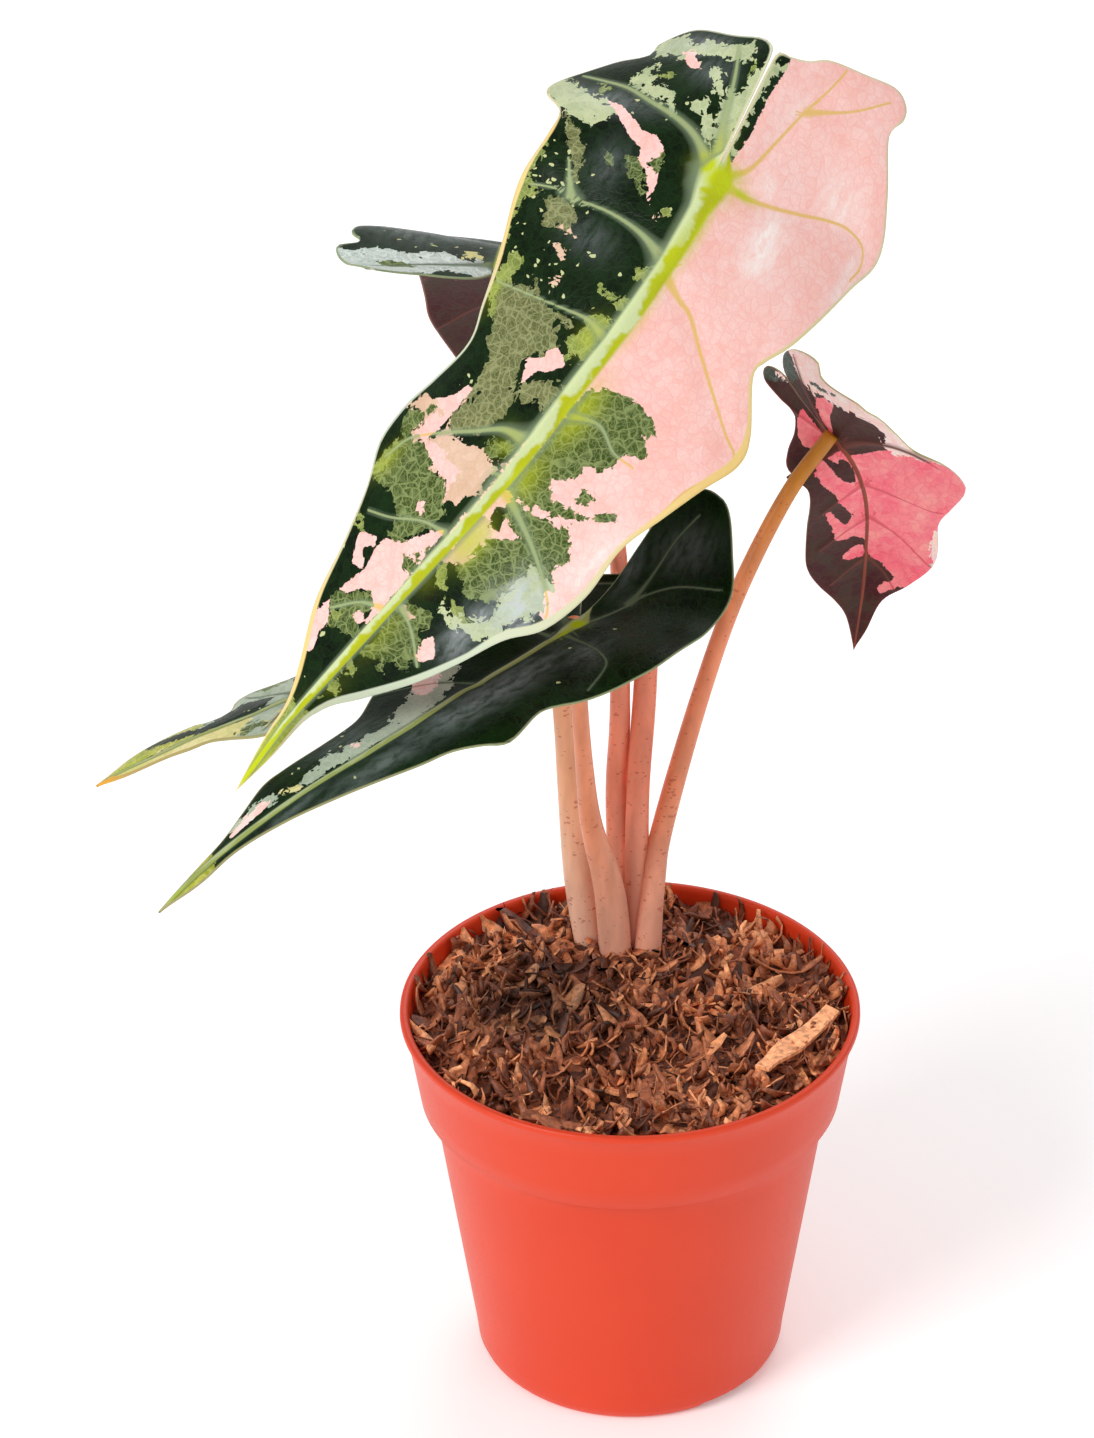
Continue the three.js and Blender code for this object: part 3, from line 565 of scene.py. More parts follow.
def petiole_material(name, route, low, middle, top):
    """Smooth living skin, waxy rather than wet, from the colour at the mix to that at the leaf.
    It has soft blotches of 4 mm, longer upward, and fine dark red specks, one to a square
    millimetre where they are dense. Light comes a little way through its edges."""
    material, tree = new_material(name)
    place = add(tree, "TexCoord", out="Object")
    up_stalk = add(tree, "Attribute", out="Fac", attribute_name="up_stalk")
    ramp = add(tree, "ValToRGB", [up_stalk])
    stops = ramp.node.color_ramp.elements
    pale_end, flushed = np.interp((PALE_HEIGHT, FLUSHED_HEIGHT), np.array(route)[:, 2],
                                  np.linspace(0, 1, len(route)))
    stops[0].position, stops[0].color = pale_end, linear(low)
    stops[1].position, stops[1].color = 0.9, linear(top)
    for position in (flushed, 0.64):
        stops.new(position).color = linear(middle)
    stretched = add(tree, "Mapping", {"Vector": place, "Scale": (1, 1, 0.22)})
    patches = add(tree, "TexNoise", {"Vector": stretched, "Scale": 240.0, "Detail": 3.0})
    patch = add(tree, "MapRange", [patches, 0.35, 0.7, 0.86, 1.1])
    skin = add(tree, "VectorMath", [ramp, patch], operation="SCALE")
    squat = add(tree, "Mapping", {"Vector": place, "Scale": (0.6, 0.6, 1.1)})
    specks = add(tree, "TexVoronoi", {"Vector": squat, "Scale": 900.0})
    sparse = add(tree, "TexNoise", {"Vector": place, "Scale": 330.0, "Detail": 2.0})
    reach = add(tree, "MapRange", [sparse, 0.4, 0.7, 0.0, 0.42])
    dot = add(tree, "Math", [specks, reach], operation="LESS_THAN")
    faint = add(tree, "Math", [dot, 0.5], operation="MULTIPLY")
    colour = add(tree, "Mix", [faint, skin, linear(SPECK_RED)])
    bump = add(tree, "Bump", {"Height": patches, "Strength": 0.15, "Distance": 0.0006})
    add(tree, "OutputMaterial", [add(tree, "BsdfPrincipled", {
        "Base Color": colour, "Roughness": 0.42, "Normal": bump,
        "Subsurface Weight": 0.12, "Subsurface Scale": 0.003})])
    return material


for number, (colours, route) in STALKS.items():
    stalk = make_stalk(f"petiole_{number}", route)
    stalk.data.materials.append(
        petiole_material(f"alocasia_petiole_{number}", route, *colours))
    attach(stalk, "root")
    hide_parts(f"stalk_{number}")


# Leaves
# Thick, stiff, arrow-shaped blades with a raised midrib, side veins that stand out below and
# quilted skin between them. Each is a flat blank bent along its spine, as the plant holds it.
SKIN_HALF = 0.32
SKIN_EDGE_HALF = 0.2
SKIN_EDGE_WIDTH = 1.5
QUILT = 0.45
QUILT_WIDTH = 3.2
QUILT_EDGE = 5
RIB_TOP = 0.14
RIB_UNDER = 1.0
VEIN_SLANT = 0.6
VEIN_UNDER = 0.5
VEIN_UNDER_WIDTH = 0.8
VEIN_LEAST = 0.38
VEIN_TAPER = 0.6
VEIN_FLARE = 2.2
VEIN_FLARE_RUN = 4
FIRST_ROOT = -2.5
ROOT_RUN = 2.6
VEIN_STEPS = 6
MARGIN_STEPS = 60
FAR = 9.0
NEAR = 4.0
LEAF_SHIFT = 40
# Places on a blank are x and y in millimetres, written as x, y, x, y and so on, with the stalk
# joint at 0, 0, the tip up the midrib and x to the right, as seen from above. right and left are
# the margins, from the notch between the rear lobes round to the tip. fold and curl bend the
# right half and the left, at the rear lobes, the joint, half way and the tip, and rear the lobes
LEAF_SHAPES = {
    "leaf_1": dict(
        lobe=50, width=45, rear=-4, wave=(2, 55, 40), rows=230, columns=60,
        spine=[(20, 2, 344), (1, -29, 317), (-34, -50, 290), (-97, -44, 199)],
        face=[(0.25, -0.75, 0.59), (0.12, -0.86, 0.49)], fold=((54, 31, 45, 24), (11, 15, 10, 16)),
        curl=((15, 5, 9, 0), (6, 7, -14, -8)),
        right=[0.03, -5, 0.22, -20, 0.4, -33, 1.6, -38, 6, -40, 15, -40.5, 30, -42.5, 38.5, -38, 38,
               -32.5, 46, -29, 52, -19, 52, -11, 45, -5, 45, 4, 46, 20, 42, 40, 38, 59, 34.5, 71, 37,
               86, 39.5, 98, 38, 109, 30, 119, 22.5, 133, 17, 147, 9, 160, 4.5, 170, 3, 181, 0, 198],
        left=[0.03, -5, 0.22, -20, 0.4, -33, 1.2, -37, 4, -37.5, 9, -39.5, 14, -43, 24, -45.5, 33,
              -47.5, 37.5, -45, 38.5, -41, 37, -35, 44.5, -23, 50, -14, 51, -7, 47, 3, 40, 21, 36,
              28.5, 35.5, 33, 43.5, 44.5, 45, 52, 41, 62, 37.5, 73, 34.5, 85, 35.5, 100, 33, 113, 27,
              122, 22.5, 134, 17.5, 145.5, 10, 157, 5, 163.5, 2.3, 171, 1.6, 184, 0, 198]),
    "leaf_2": dict(
        lobe=36, width=32, rear=39, wave=(1.2, 42, 0), rows=170, columns=44,
        spine=[(-14, 9, 216), (-40, -35, 217), (-76, -61, 223), (-114, -80, 187)],
        face=[(-0.37, -0.24, 0.88), (-0.39, -0.31, 0.85)], fold=((-18, -18, 9, 11), (3, 3, 5, 11)),
        curl=((4, 1, 4, 0), (4, 2, 4, 0)),
        right=[0.5, -4, 4.5, -12, 9.5, -22, 14.8, -32, 19, -39.5, 25, -40, 31, -32, 34, -20, 35, -8,
               35, 6, 32, 20, 28, 34, 24, 46, 20.8, 58, 14.5, 70, 12, 83, 11.5, 95, 11, 102.5, 6.5,
               112, 3, 120, 1.3, 130, 0, 143],
        left=[0.2, -4.5, 1.8, -18, 3.7, -30, 8, -41, 16.5, -47, 22, -46, 26, -42, 31, -31, 35, -20, 35,
              -8, 36, 3, 35, 13, 31, 21, 25.5, 31, 21.5, 37, 21, 41.5, 24.5, 53, 20, 58, 16, 64, 14,
              73, 9, 92, 5.5, 105, 3, 119, 2.8, 131, 0, 143]),
    "leaf_3": dict(
        lobe=34, width=30, rear=10, wave=(1, 38, 20), rows=130, columns=34,
        spine=[(-21, 40, 210.5), (-53, 10, 211), (-90, -18, 209), (-134.5, -13, 181)],
        face=[(-0.13, 0.1, 0.92), (-0.31, 0.11, 0.82)], fold=((10, 3, 9, 2), (30, 26, -2, 1)),
        curl=((5, 4, 5, 0), (5, 5, 4, 0)),
        right=[0.5, -4, 4, -11, 9.3, -21.5, 14.5, -31.5, 19, -34, 25, -31, 30, -20, 31, -6, 30, 10, 27,
               26, 23, 42, 19, 56, 15.5, 69, 15.5, 79, 17.5, 88, 15.5, 93, 8.5, 96, 8.5, 102, 11.2,
               108, 10, 120, 7.5, 127, 2.7, 132, 0, 135],
        left=[0.5, -4, 4, -10, 9.2, -18.5, 13.9, -26.5, 17, -30, 20, -25, 20.5, -12, 19, 0, 17, 14, 15,
              28, 13, 42, 13, 56, 15, 70, 19, 82, 19, 90, 11, 97.5, 6.6, 102.5, 5.7, 107.5, 4, 114, 3,
              126, 0, 135]),
    "leaf_4": dict(
        lobe=36, width=36, rear=10, wave=(1.2, 46, 60), rows=140, columns=40,
        spine=[(-32, 29, 306), (-29, 72, 303), (-29, 95, 263), (-32, 109, 203)],
        face=[(0.15, 0.24, 0.94), (0.03, 0.97, 0.24)], fold=((5, 5, 5, 5), (-7, 0, 3, 5)),
        curl=((5, 5, 5, 0), (3, 5, 4, 0)),
        right=[0.3, -4.5, 3, -15, 7, -28, 15, -33, 24, -31, 31, -22, 34, -8, 33, 8, 30, 24, 27, 42, 24,
               60, 21, 78, 17, 92, 11, 108, 5, 124, 2.5, 134, 0, 144],
        left=[0.5, -4, 5, -10, 12, -13, 19, -14.5, 26, -18, 30.5, -20, 34.5, -16, 38, -7, 41, 3, 35.5,
              6.5, 38.5, 12.5, 35, 26, 30.5, 35, 26, 52, 23.5, 70, 22.5, 79, 20, 86, 16, 95, 12, 104,
              7, 119, 3, 132, 0, 144]),
    "leaf_5": dict(
        lobe=26, width=24, rear=18, wave=(0.8, 32, 0), rows=110, columns=34,
        spine=[(53, 71, 235), (65, 65, 224), (65, 96, 195), (60, 89, 160)],
        face=[(-0.03, 0.8, 0.59), (0.03, 0.95, 0.31)], fold=((10, 6, 9, 10), (9, 9, 7, 10)),
        curl=((5, 4, 5, 0), (5, 5, 4, 0)),
        right=[0.04, -4.5, 0.25, -13, 0.55, -21, 5, -24.5, 11, -24, 17, -20.5, 20, -16.5, 16.5, -12.5,
               22, -2, 18, 4, 18, 8.5, 24, 13, 27, 17, 26.7, 20, 22.4, 26, 18.5, 34, 18.2, 48, 12, 58,
               5.5, 65, 2.5, 75, 0, 81],
        left=[0.04, -4.5, 0.25, -13, 0.55, -21, 4, -25.5, 7, -24, 6, -17, 5, -12, 9, -8, 15, -5.5,
              19.5, -2, 19, 4, 15, 12, 14.5, 18, 16.5, 33, 16.8, 48, 15.5, 55, 12, 61, 7, 66.5, 3.5,
              71.5, 0, 81]),
}
# What the skin holds in a patch: pink has no green, net has green cells between pale veins, veil
# is a paler net, pale is silvery, cream is warm white, lime is yellow green, dark is full green
KINDS = ("pink", "net", "veil", "pale", "cream", "lime", "dark")
# Each patch: what it holds, then its corners. A later patch covers the ones before it.
MARKINGS = {
    "leaf_1": [
        ("pink", -60, -60, 0, -60, 0, 112, -60, 112),
        ("dark", -0.3, -4, -2.4, -6, -3.4, -14, -3.6, -26, -4.6, -34, -4, -40, 0, -40),
        ("pale", -0.5, -12, -1.6, -26, -2.8, -34, 0, -34),
        ("dark", -36, 112, -20, 110, 0, 112, 0, 200, -40, 200),
        ("net", -21, 56, -24, 59.5, -20.5, 60.5, -25, 63.5, -21, 67, -19.5, 72, -14.5, 75.5, -14.5, 79,
         -11, 82, -3, 84, -3, 60, -6, 58, -12, 55.5),
        ("net", -29, 78.5, -26, 80, -24, 83, -20, 85, -13, 86, -9, 82, -2, 82, -2, 92, -10, 90.5, -16,
         89, -22, 86, -26, 83, -29, 80.5),
        ("net", -22, 79.5, -19, 78.5, -17, 80, -18, 82.3, -21, 82.5),
        ("net", -28, 103, -25, 99, -27, 96, -24.5, 92.5, -21, 90, -15, 91.5, -6, 92, -7, 96, -14, 99,
         -8, 103, -6, 108, -7, 114, -10, 117, -15, 118, -19, 116, -21, 110),
        ("pale", -30, 110, -28, 104.5, -21, 102.5, -20, 110, -19.5, 115, -21, 119.5, -25, 119, -28,
         114),
        ("cream", -8, 103, -5.5, 99.5, -2.5, 99, -2.5, 114, -6, 113, -7.5, 109),
        ("dark", -9, 100.5, -5, 100, -4, 95, -7, 95),
        ("pale", -27, 120, -21, 119, -20, 121.5, -14, 124.5, -10, 124.5, -13, 127, -19, 126.5, -23,
         124, -27, 124),
        ("lime", -18, 123.5, -13, 124, -9, 121.5, -12, 120.5, -14, 122),
        ("lime", -8, 120, -4, 115, -3, 117, -6, 121),
        ("net", -10, 127.5, -2, 129, -1.5, 147, -6, 146, -11, 143, -14, 140.5, -12.5, 137, -10, 133,
         -12, 130),
        ("cream", -6, 131.3, -2, 131.3, -2, 128),
        ("pink", -17, 136.5, -15, 140, -12.7, 138, -12, 134, -13, 131.5, -16, 134.5),
        ("net", -14, 143, -11, 144.5, -10, 142.5, -13, 142),
        ("net", -10, 148, -7, 147, -8, 146),
        ("lime", -5, 152, -1, 155, -1, 149, -3, 151),
        ("lime", -6, 161, -3, 160, -1, 163, -1, 157, -4, 158),
        ("pink", 9.5, 15, 12, 11, 12, 7, 13.2, 4, 14, 0, 15, -3.5, 18, -5.5, 22, -6, 26, -8.5, 30,
         -11.3, 36, -12.2, 31, -9, 27, -5.5, 23.5, -2.5, 20.5, -1, 19.5, 2, 17, 5, 14.2, 8, 12.5, 12),
        ("net", 14, 12, 18, 9, 21, 6, 23, 2.5, 20, 2.5, 18, 4, 15.5, 6, 14, 8),
        ("net", 13.2, 3.5, 17, 2.5, 16, 0, 14.5, -1),
        ("veil", 31, 16, 32.5, 10, 34, 4, 38, -1, 43, -5, 42, -1, 39, 3, 38, 7, 35, 11, 33, 16),
        ("pale", 30, -7, 36, -3, 46, -6, 53, -12, 53, -19, 47, -16.5, 40, -13, 33, -10),
        ("lime", 38, -14, 39.5, -17, 43, -18.2, 40, -18.6, 37.5, -16.5),
        ("pale", 4, -7, 9, -10, 9.5, -14, 15, -18.5, 11, -19, 7, -14),
        ("pale", 17, -13, 20, -15, 26, -17, 33, -20, 33.5, -26, 31, -29, 28.5, -22, 24, -20.5, 20,
         -19),
        ("pale", -0.5, -4, 3, -6, 5, -12, 8, -20, 12, -25, 15, -30, 11, -28, 7, -22, 3.5, -23, 2.5,
         -27, 1, -33, 0, -36, -0.5, -20),
        ("lime", 24, -24, 26, -23, 28, -25, 24.5, -25.5),
        ("pale", 4, -32, 12, -33, 24, -32, 34, -31, 38, -34, 38, -39, 30, -40, 24, -38, 14, -37, 7,
         -38),
        ("dark", 21, -38, 26, -36.5, 32, -41, 24, -42),
        ("pink", 17, -28, 20.5, -28, 24, -30.5, 26.5, -33.5, 23, -33.5, 20, -31),
        ("lime", 3, -31, 3.5, -28, 4, -33),
        ("net", 25, 6.5, 27.5, 5, 28.5, 2.5, 26, 4),
        ("lime", 4.5, 14.5, 7.5, 13.5, 6, 12, 4.5, 12.5),
        ("cream", 6.5, 15.5, 8, 15.5, 8, 14, 6.5, 14.2),
        ("veil", 25.5, 28, 28, 29.5, 33, 30, 35, 26, 38.5, 20, 33, 21, 27, 23.5),
        ("cream", 24, 29, 29, 28.7, 29, 28, 24.5, 28.2),
        ("lime", 38, 22, 42, 26, 41.5, 34, 40, 45, 44, 44, 47, 25, 46, 10, 44.5, 3, 43.5, 10, 44, 18),
        ("lime", 33, 42, 36, 40, 38, 44, 38.5, 55, 34, 61, 31.5, 61, 33, 52),
        ("lime", 1, 36, 5, 38, 11, 37.2, 8, 40, 1, 40),
        ("lime", 2, 27.5, 6.5, 29.5, 4, 32.5, 1, 31),
        ("cream", 23, 37, 26, 36, 28, 33.7, 24, 34),
        ("cream", 20, 43, 23, 44, 24, 42.5, 21, 41.5),
        ("veil", 14, 54, 10, 50, 12, 49, 18, 50, 24, 48.5, 27, 43.5, 30, 48, 34, 50, 36, 55, 33, 58,
         30.5, 62, 30, 66, 25, 70, 24, 76, 24, 83, 23, 90, 20, 91.5, 13, 86, 10, 78, 11.5, 72, 14, 70,
         17, 64, 12, 60, 10.5, 56.5),
        ("lime", 1, 43, 9, 44, 7, 49, 9, 54, 5, 58, 1, 56),
        ("veil", 1, 63, 6, 64, 10, 67, 11, 71, 8, 72.5, 5, 69, 1, 71),
        ("pink", -32, 71, -27, 72.5, -25, 69, -26.5, 64.5, -30, 64),
        ("pink", 5, 59, 8, 63, 11, 65, 12, 69.5, 14, 66, 16, 64, 12, 61.5, 12, 58, 10, 56.5, 7, 57.5),
        ("cream", 1, 88.5, 4, 89, 8, 88, 14, 90, 20, 92.5, 23, 91, 24, 97, 30, 101, 20, 101, 13, 101,
         8, 104, 4, 102.5, 2, 98),
        ("pink", 8, 104, 10, 96, 22, 97, 28, 99, 20, 101, 13, 101),
        ("pink", 23.5, 80, 25.5, 79.5, 27, 84, 31, 89, 36, 93, 37, 96.5, 33, 95, 30, 97, 31, 101, 26,
         99, 24, 92),
        ("cream", 26, 90, 31, 89.5, 36.5, 91, 38, 97, 35, 95, 30, 94),
        ("net", 0, 80.5, 4, 82, 6, 83.5, 9, 85, 8, 88, 4, 87.5, 1, 84),
        ("net", 7, 104.5, 11, 100.5, 18, 101, 24, 100, 30, 101, 33, 104, 34, 110, 32, 116, 27, 115, 22,
         114, 18, 115, 15, 117, 14, 121, 9, 119.5, 6, 112, 4, 106),
        ("lime", 28, 114, 33, 117, 34, 109, 32, 103, 31, 110),
        ("net", 30, 92, 36, 96, 36.5, 99, 34, 103, 31, 104),
        ("pink", 1.5, 108, 5, 112, 8, 118, 11, 121, 14, 122, 14, 126, 12, 131, 14, 140, 11, 139, 9,
         135, 6, 134, 3, 136, 1, 141, 0.5, 128, 0.5, 116),
        ("pink", 11, 111, 12.5, 111.5, 14, 109, 12, 107.5, 10.8, 108.5),
        ("net", 0, 122.5, 4, 123, 6, 120.7, 3, 119, 0, 119.5),
        ("net", 0, 115, 3, 118, 3.5, 116.5, 1, 114),
        ("pink", 12.5, 132, 16, 133.5, 17.5, 131.5, 20, 129, 21, 127, 16, 124, 14, 126, 17.5, 128,
         14.5, 130),
        ("net", 3, 134.5, 7, 134, 10, 138, 14, 141, 13, 145, 10, 147, 3, 146, 0, 143, 4, 141.5, 3,
         137),
        ("pink", 1, 138, 5, 139, 6, 142.3, 3, 141.5),
        ("pink", 9.5, 148, 13, 145, 14, 143, 14.5, 149, 11.5, 154, 10, 158, 8, 156, 10, 151),
        ("lime", 21, 126, 24, 128, 26, 124, 23, 125),
        ("lime", 8, 144, 9, 147, 12, 145, 10, 143),
        ("dark", 9, 56, 8.5, 53, 11, 51, 15, 51.5, 14, 53.5, 11.5, 55.5),
        ("dark", 2.5, 56.5, 5, 57.5, 5.5, 56, 3.5, 55.4),
        ("dark", 28, 49.5, 33, 50, 32.5, 46, 28, 45, 26, 47.5),
        ("lime", -9, 168, 9, 168, 6, 200, -6, 200),
    ],
    "leaf_2": [
        ("pale", -0.5, 98, 1.5, 96, 4, 90, 5, 84, 3.2, 80, 4, 74, 3, 69, 5, 64.5, 8, 62, 9, 57, 12, 52,
         14, 46, 16, 40, 14, 32, 11, 34, 8, 40, 5, 45, 2, 51, 1, 56, -1, 60, -2, 62, -1.5, 75, -1, 90),
        ("pink", 6.5, 50, 8, 52.5, 12, 52, 15, 48.5, 18, 44, 22, 39, 20, 34, 15, 38, 11, 43, 8, 46.5),
        ("pink", 2, 80, 4, 80.5, 4.3, 78, 2.5, 77.5),
        ("pale", 4, 118, 6, 112, 6, 106, 4, 103, 2, 104, 3, 118),
        ("pink", 0.5, 118, 2, 118.5, 4, 113, 4.5, 107, 3, 103.5, 1.5, 105, 0.8, 110),
        ("cream", -0.5, 97.5, 1.5, 101, 4, 101, 3, 99, 0.5, 96),
        ("lime", -4, 128, 0, 124, 4, 126, 2, 145, -4, 145),
        ("pale", 20, -5, 27, 2, 26, 18, 20, 24, 18, 10),
        ("net", 16, -30, 24, -34, 28, -22, 22, -16),
    ],
    "leaf_3": [
        ("net", 5, 20, 14, 26, 18, 44, 12, 60, 5, 50),
        ("pale", -25, 76, 25, 76, 25, 106, -25, 106),
        ("cream", -12, 136, -14, 98, -5, 90, -3, 96, -1, 104, 0.5, 116, 0.5, 136),
        ("lime", -1.5, 100, 2, 104, 13, 103, 12, 136, 0, 136, 0.5, 116),
        ("dark", -4.5, 92, -2.5, 86, 3, 83, 8.5, 89, 8.5, 95, 5.5, 100, 4.6, 104, 7.5, 109, 10, 116, 9,
         122, 6, 120, 3.6, 112, 0.4, 104, -1.5, 99, -3.5, 96),
        ("net", 10, 77, 17, 77, 15, 86, 11, 84),
        ("net", -14, 95, -10, 96, -9, 90, -13, 87),
        ("cream", -22, 74, -8, 74, -6, 82, -12, 88, -20, 88),
    ],
    "leaf_4": [
        ("veil", -43, 4, -36, 0, -31, 3, -24, 0, -14, 3, -8, -1, -1, 2, -2, -11, -12, -9, -20, -15,
         -26, -21, -36, -22),
        ("net", -30, -6, -24, -5, -20, -9, -27, -12),
        ("cream", -9, 5, -6, 5, -5, 1.5, -9, 1),
        ("net", 4, 10, 22, 14, 26, 30, 14, 44, 5, 34),
        ("pink", 8, 50, 18, 54, 16, 70, 7, 66),
    ],
    "leaf_5": [
        ("pink", -0.5, 6.5, 4, 6.8, 11, 7, 15, 9, 22, 4, 34, 10, 34, 24, 22, 34, 22, 50, 13, 60, 9, 59,
         5, 63, 3, 62, 5, 59, 8, 56.5, 4, 52, 1, 50, -0.5, 47),
        ("cream", 17.3, 50, 22, 52, 22, 36, 17.6, 37, 16.4, 42, 16.6, 46),
        ("pink", 1, -1, 4, -3.6, 8, -5.5, 11.5, -6.5, 10, -9.5, 6.5, -11, 4.5, -9, 2.5, -6),
        ("cream", 11.5, 7.4, 15, 9.5, 24, 12, 26, 8, 24, -8, 18, -12, 10.5, -12, 10, -9.5, 13, -5, 17,
         0, 17, 2, 13, 5),
        ("cream", 7, -11, 18, -11, 24, -14, 24, -20, 12, -28, 8, -20, 6.5, -17, 7.3, -14),
        ("lime", -10, -30, -8, -24, -2.5, -20, 0, -19, 5, -17.5, 8, -20, 11, -28),
        ("lime", 10, -14, 10.5, -12, 13, -9, 18, -6.5, 14, -10, 11, -13.5),
        ("cream", -0.6, -19, -2, -21, -1.4, -26, -0.4, -26),
        ("pink", -11, 9, -10.3, 14, -8, 20, -7.5, 24, -4.2, 32, -6.3, 36.5, -8.5, 33, -10, 28, -12, 28,
         -11, 32, -10, 36, -9, 42, -7, 43, -4, 41.5, -0.5, 43, -0.5, 4, -9, 4),
        ("dark", -4.5, 15.5, -2, 17, -1.3, 12, -1.3, 7, -3, 6.5, -4, 8, -5.5, 5, -6.5, 4, -6, 12),
        ("pink", -7, 50.5, -5, 51.5, -1.2, 49.5, -1.2, 46, -3, 45, -5, 47),
        ("pink", -9, -1, -1, -1, -1.6, -5, -1.6, -11.5, -6, -9.5, -9, -7, -10, -4),
    ],
}
# The pale midrib: its middle and half width up the leaf, as (height, middle, half width)
MIDRIBS = {
    "leaf_1": [(-10, 0, 0.05), (-7, -0.3, 0.8), (-4, -0.6, 3.0), (-1, -0.9, 4.6), (3, -0.9, 4.0),
        (9, -0.8, 2.5), (30, -0.9, 2.1), (60, -1.0, 2.0), (80, -1.6, 1.9), (90, -1.9, 1.7),
        (110, -1.3, 1.4), (130, -0.6, 1.15), (150, 0.1, 0.95), (175, 1.0, 0.7), (198, 0, 0.5)],
    "leaf_2": [(-8, -0.8, 0.05), (-4, -1.4, 0.9), (0, -1.9, 2.6), (3, -1.7, 2.4), (9, -0.8, 1.0),
        (45, 0, 0.75), (65, -1.9, 0.85), (80, -2.4, 0.8), (95, -1.8, 0.75), (110, -1.2, 0.7),
        (125, -0.5, 0.7), (143, 0, 0.5)],
    "leaf_3": [(-8, 0, 0.05), (-3, 0, 1.6), (40, 0, 1.1), (90, -4, 0.9), (105, -1, 0.7),
        (135, 0, 0.4)],
    "leaf_4": [(-8, 0, 0.05), (-3, 0, 1.8), (40, 0, 1.3), (100, 0, 0.9), (144, 0, 0.4)],
    "leaf_5": [(-8, 0, 0.05), (-4, 0, 0.9), (10, -0.4, 0.65), (45, -0.6, 0.5), (65, 0, 0.4),
        (81, 0, 0.3)],
}
# The main side veins: half width at the root, then the places they run through
SIDE_VEINS = {
    "leaf_1": [
        (0.7, -1, -1, -5, -4, -8, -8, -11, -18, -14, -28, -17, -36, -19, -43),
        (0.5, -14.5, -28, -25, -35, -33, -43),
        (0.8, -2, 0, -8, 0, -16, -2, -25, -5.5, -33, -9, -39, -10.6, -45, -9.5, -47.3, -5, -46, 0),
        (0.7, -2, 27, -8, 29.5, -13, 31, -20, 36, -29, 42, -38, 48, -42.5, 50.5, -43, 55, -38, 64,
         -36.5, 72),
        (0.45, -3, 68, -11, 65, -18, 68, -24, 68),
        (0.8, -2.5, 91, -10, 94.5, -20, 100, -29, 107, -32, 112),
        (0.9, 1, -3, 4, -15, 7, -27, 11, -37),
        (1.0, 1, -1, 8, -8, 15, -12, 25, -15.5, 33, -18.5, 42, -20, 48, -21),
        (0.7, 1, 24, 10, 20.5, 20, 19, 30, 19.5, 36, 19, 42, 20.5), (0.5, 31, 19, 34, 14, 36.5, 9),
        (0.5, 1, 48, 8, 46.5, 15, 47.5, 25, 49.5, 37, 52),
        (0.7, 1, 79, 8, 81, 15, 87, 22, 93, 28, 99, 31, 103, 32.5, 110),
        (0.35, 1, 109, 9, 112, 17, 118, 24, 122), (0.35, -1, 130, -8, 134, -15, 141),
        (0.35, 1, 134, 7, 138, 12, 145),
    ],
    "leaf_2": [
        (0.5, -2, 3, -7, -5, -10, -10, -13, -15, -20, -19, -32, -20),
        (0.5, -10, -11, -12, -25, -14, -33, -18, -40),
        (0.4, -2, 8, -12, 11, -18, 14, -22, 18, -24, 27), (0.5, 1, 2, 10, -8, 17, -20, 22, -34),
        (0.4, 0, 10, 12, 12, 24, 18, 30, 24), (0.3, 0, 40, 9, 45, 16, 53, 20, 58),
    ],
    "leaf_3": [
        (0.5, -1, 0, -8, -10, -14, -20), (0.5, 1, 0, 10, -10, 18, -26), (0.4, 0, 12, 10, 16, 22, 24),
        (0.4, 0, 12, -8, 16, -14, 24), (0.4, 0, 45, 8, 50, 16, 60), (0.4, 0, 45, -6, 50, -11, 58),
        (0.4, -3, 78, 4, 82, 11, 88, 16, 90), (0.4, -3, 78, -9, 84, -16, 90),
    ],
    "leaf_4": [
        (0.7, -1, 0, -10, -3, -20, -6, -32, -12), (0.6, 1, 0, 8, -12, 16, -28),
        (0.6, 1, 2, 14, 4, 28, 8), (0.5, 0, 18, -12, 22, -28, 32), (0.5, 0, 18, 12, 24, 26, 34),
        (0.5, 0, 42, -12, 50, -23, 62), (0.5, 0, 42, 11, 52, 22, 64), (0.5, 0, 68, -11, 76, -20, 84),
        (0.5, 0, 68, 9, 78, 17, 88), (0.4, 0, 92, -7, 98, -13, 104), (0.4, 0, 92, 6, 100, 11, 106),
    ],
    "leaf_5": [
        (0.6, 0, 0, 3, -8, 7, -16, 11, -22), (0.6, 0, 0, -3, -8, -6, -16, -7, -23),
        (0.5, 0, 3, 8, 4, 15, 7, 22, 13), (0.5, 0, 3, -8, 4, -15, 5),
        (0.4, 0, 18, 8, 23, 15, 27, 20, 28), (0.4, 0, 18, -6, 22, -12, 27),
        (0.4, 0, 33, 7, 39, 13, 46, 17, 50), (0.4, 0, 33, -6, 38, -13, 46),
        (0.35, 0, 50, 5, 55, 8, 60), (0.35, 0, 50, -5, 55, -9, 60),
    ],
}
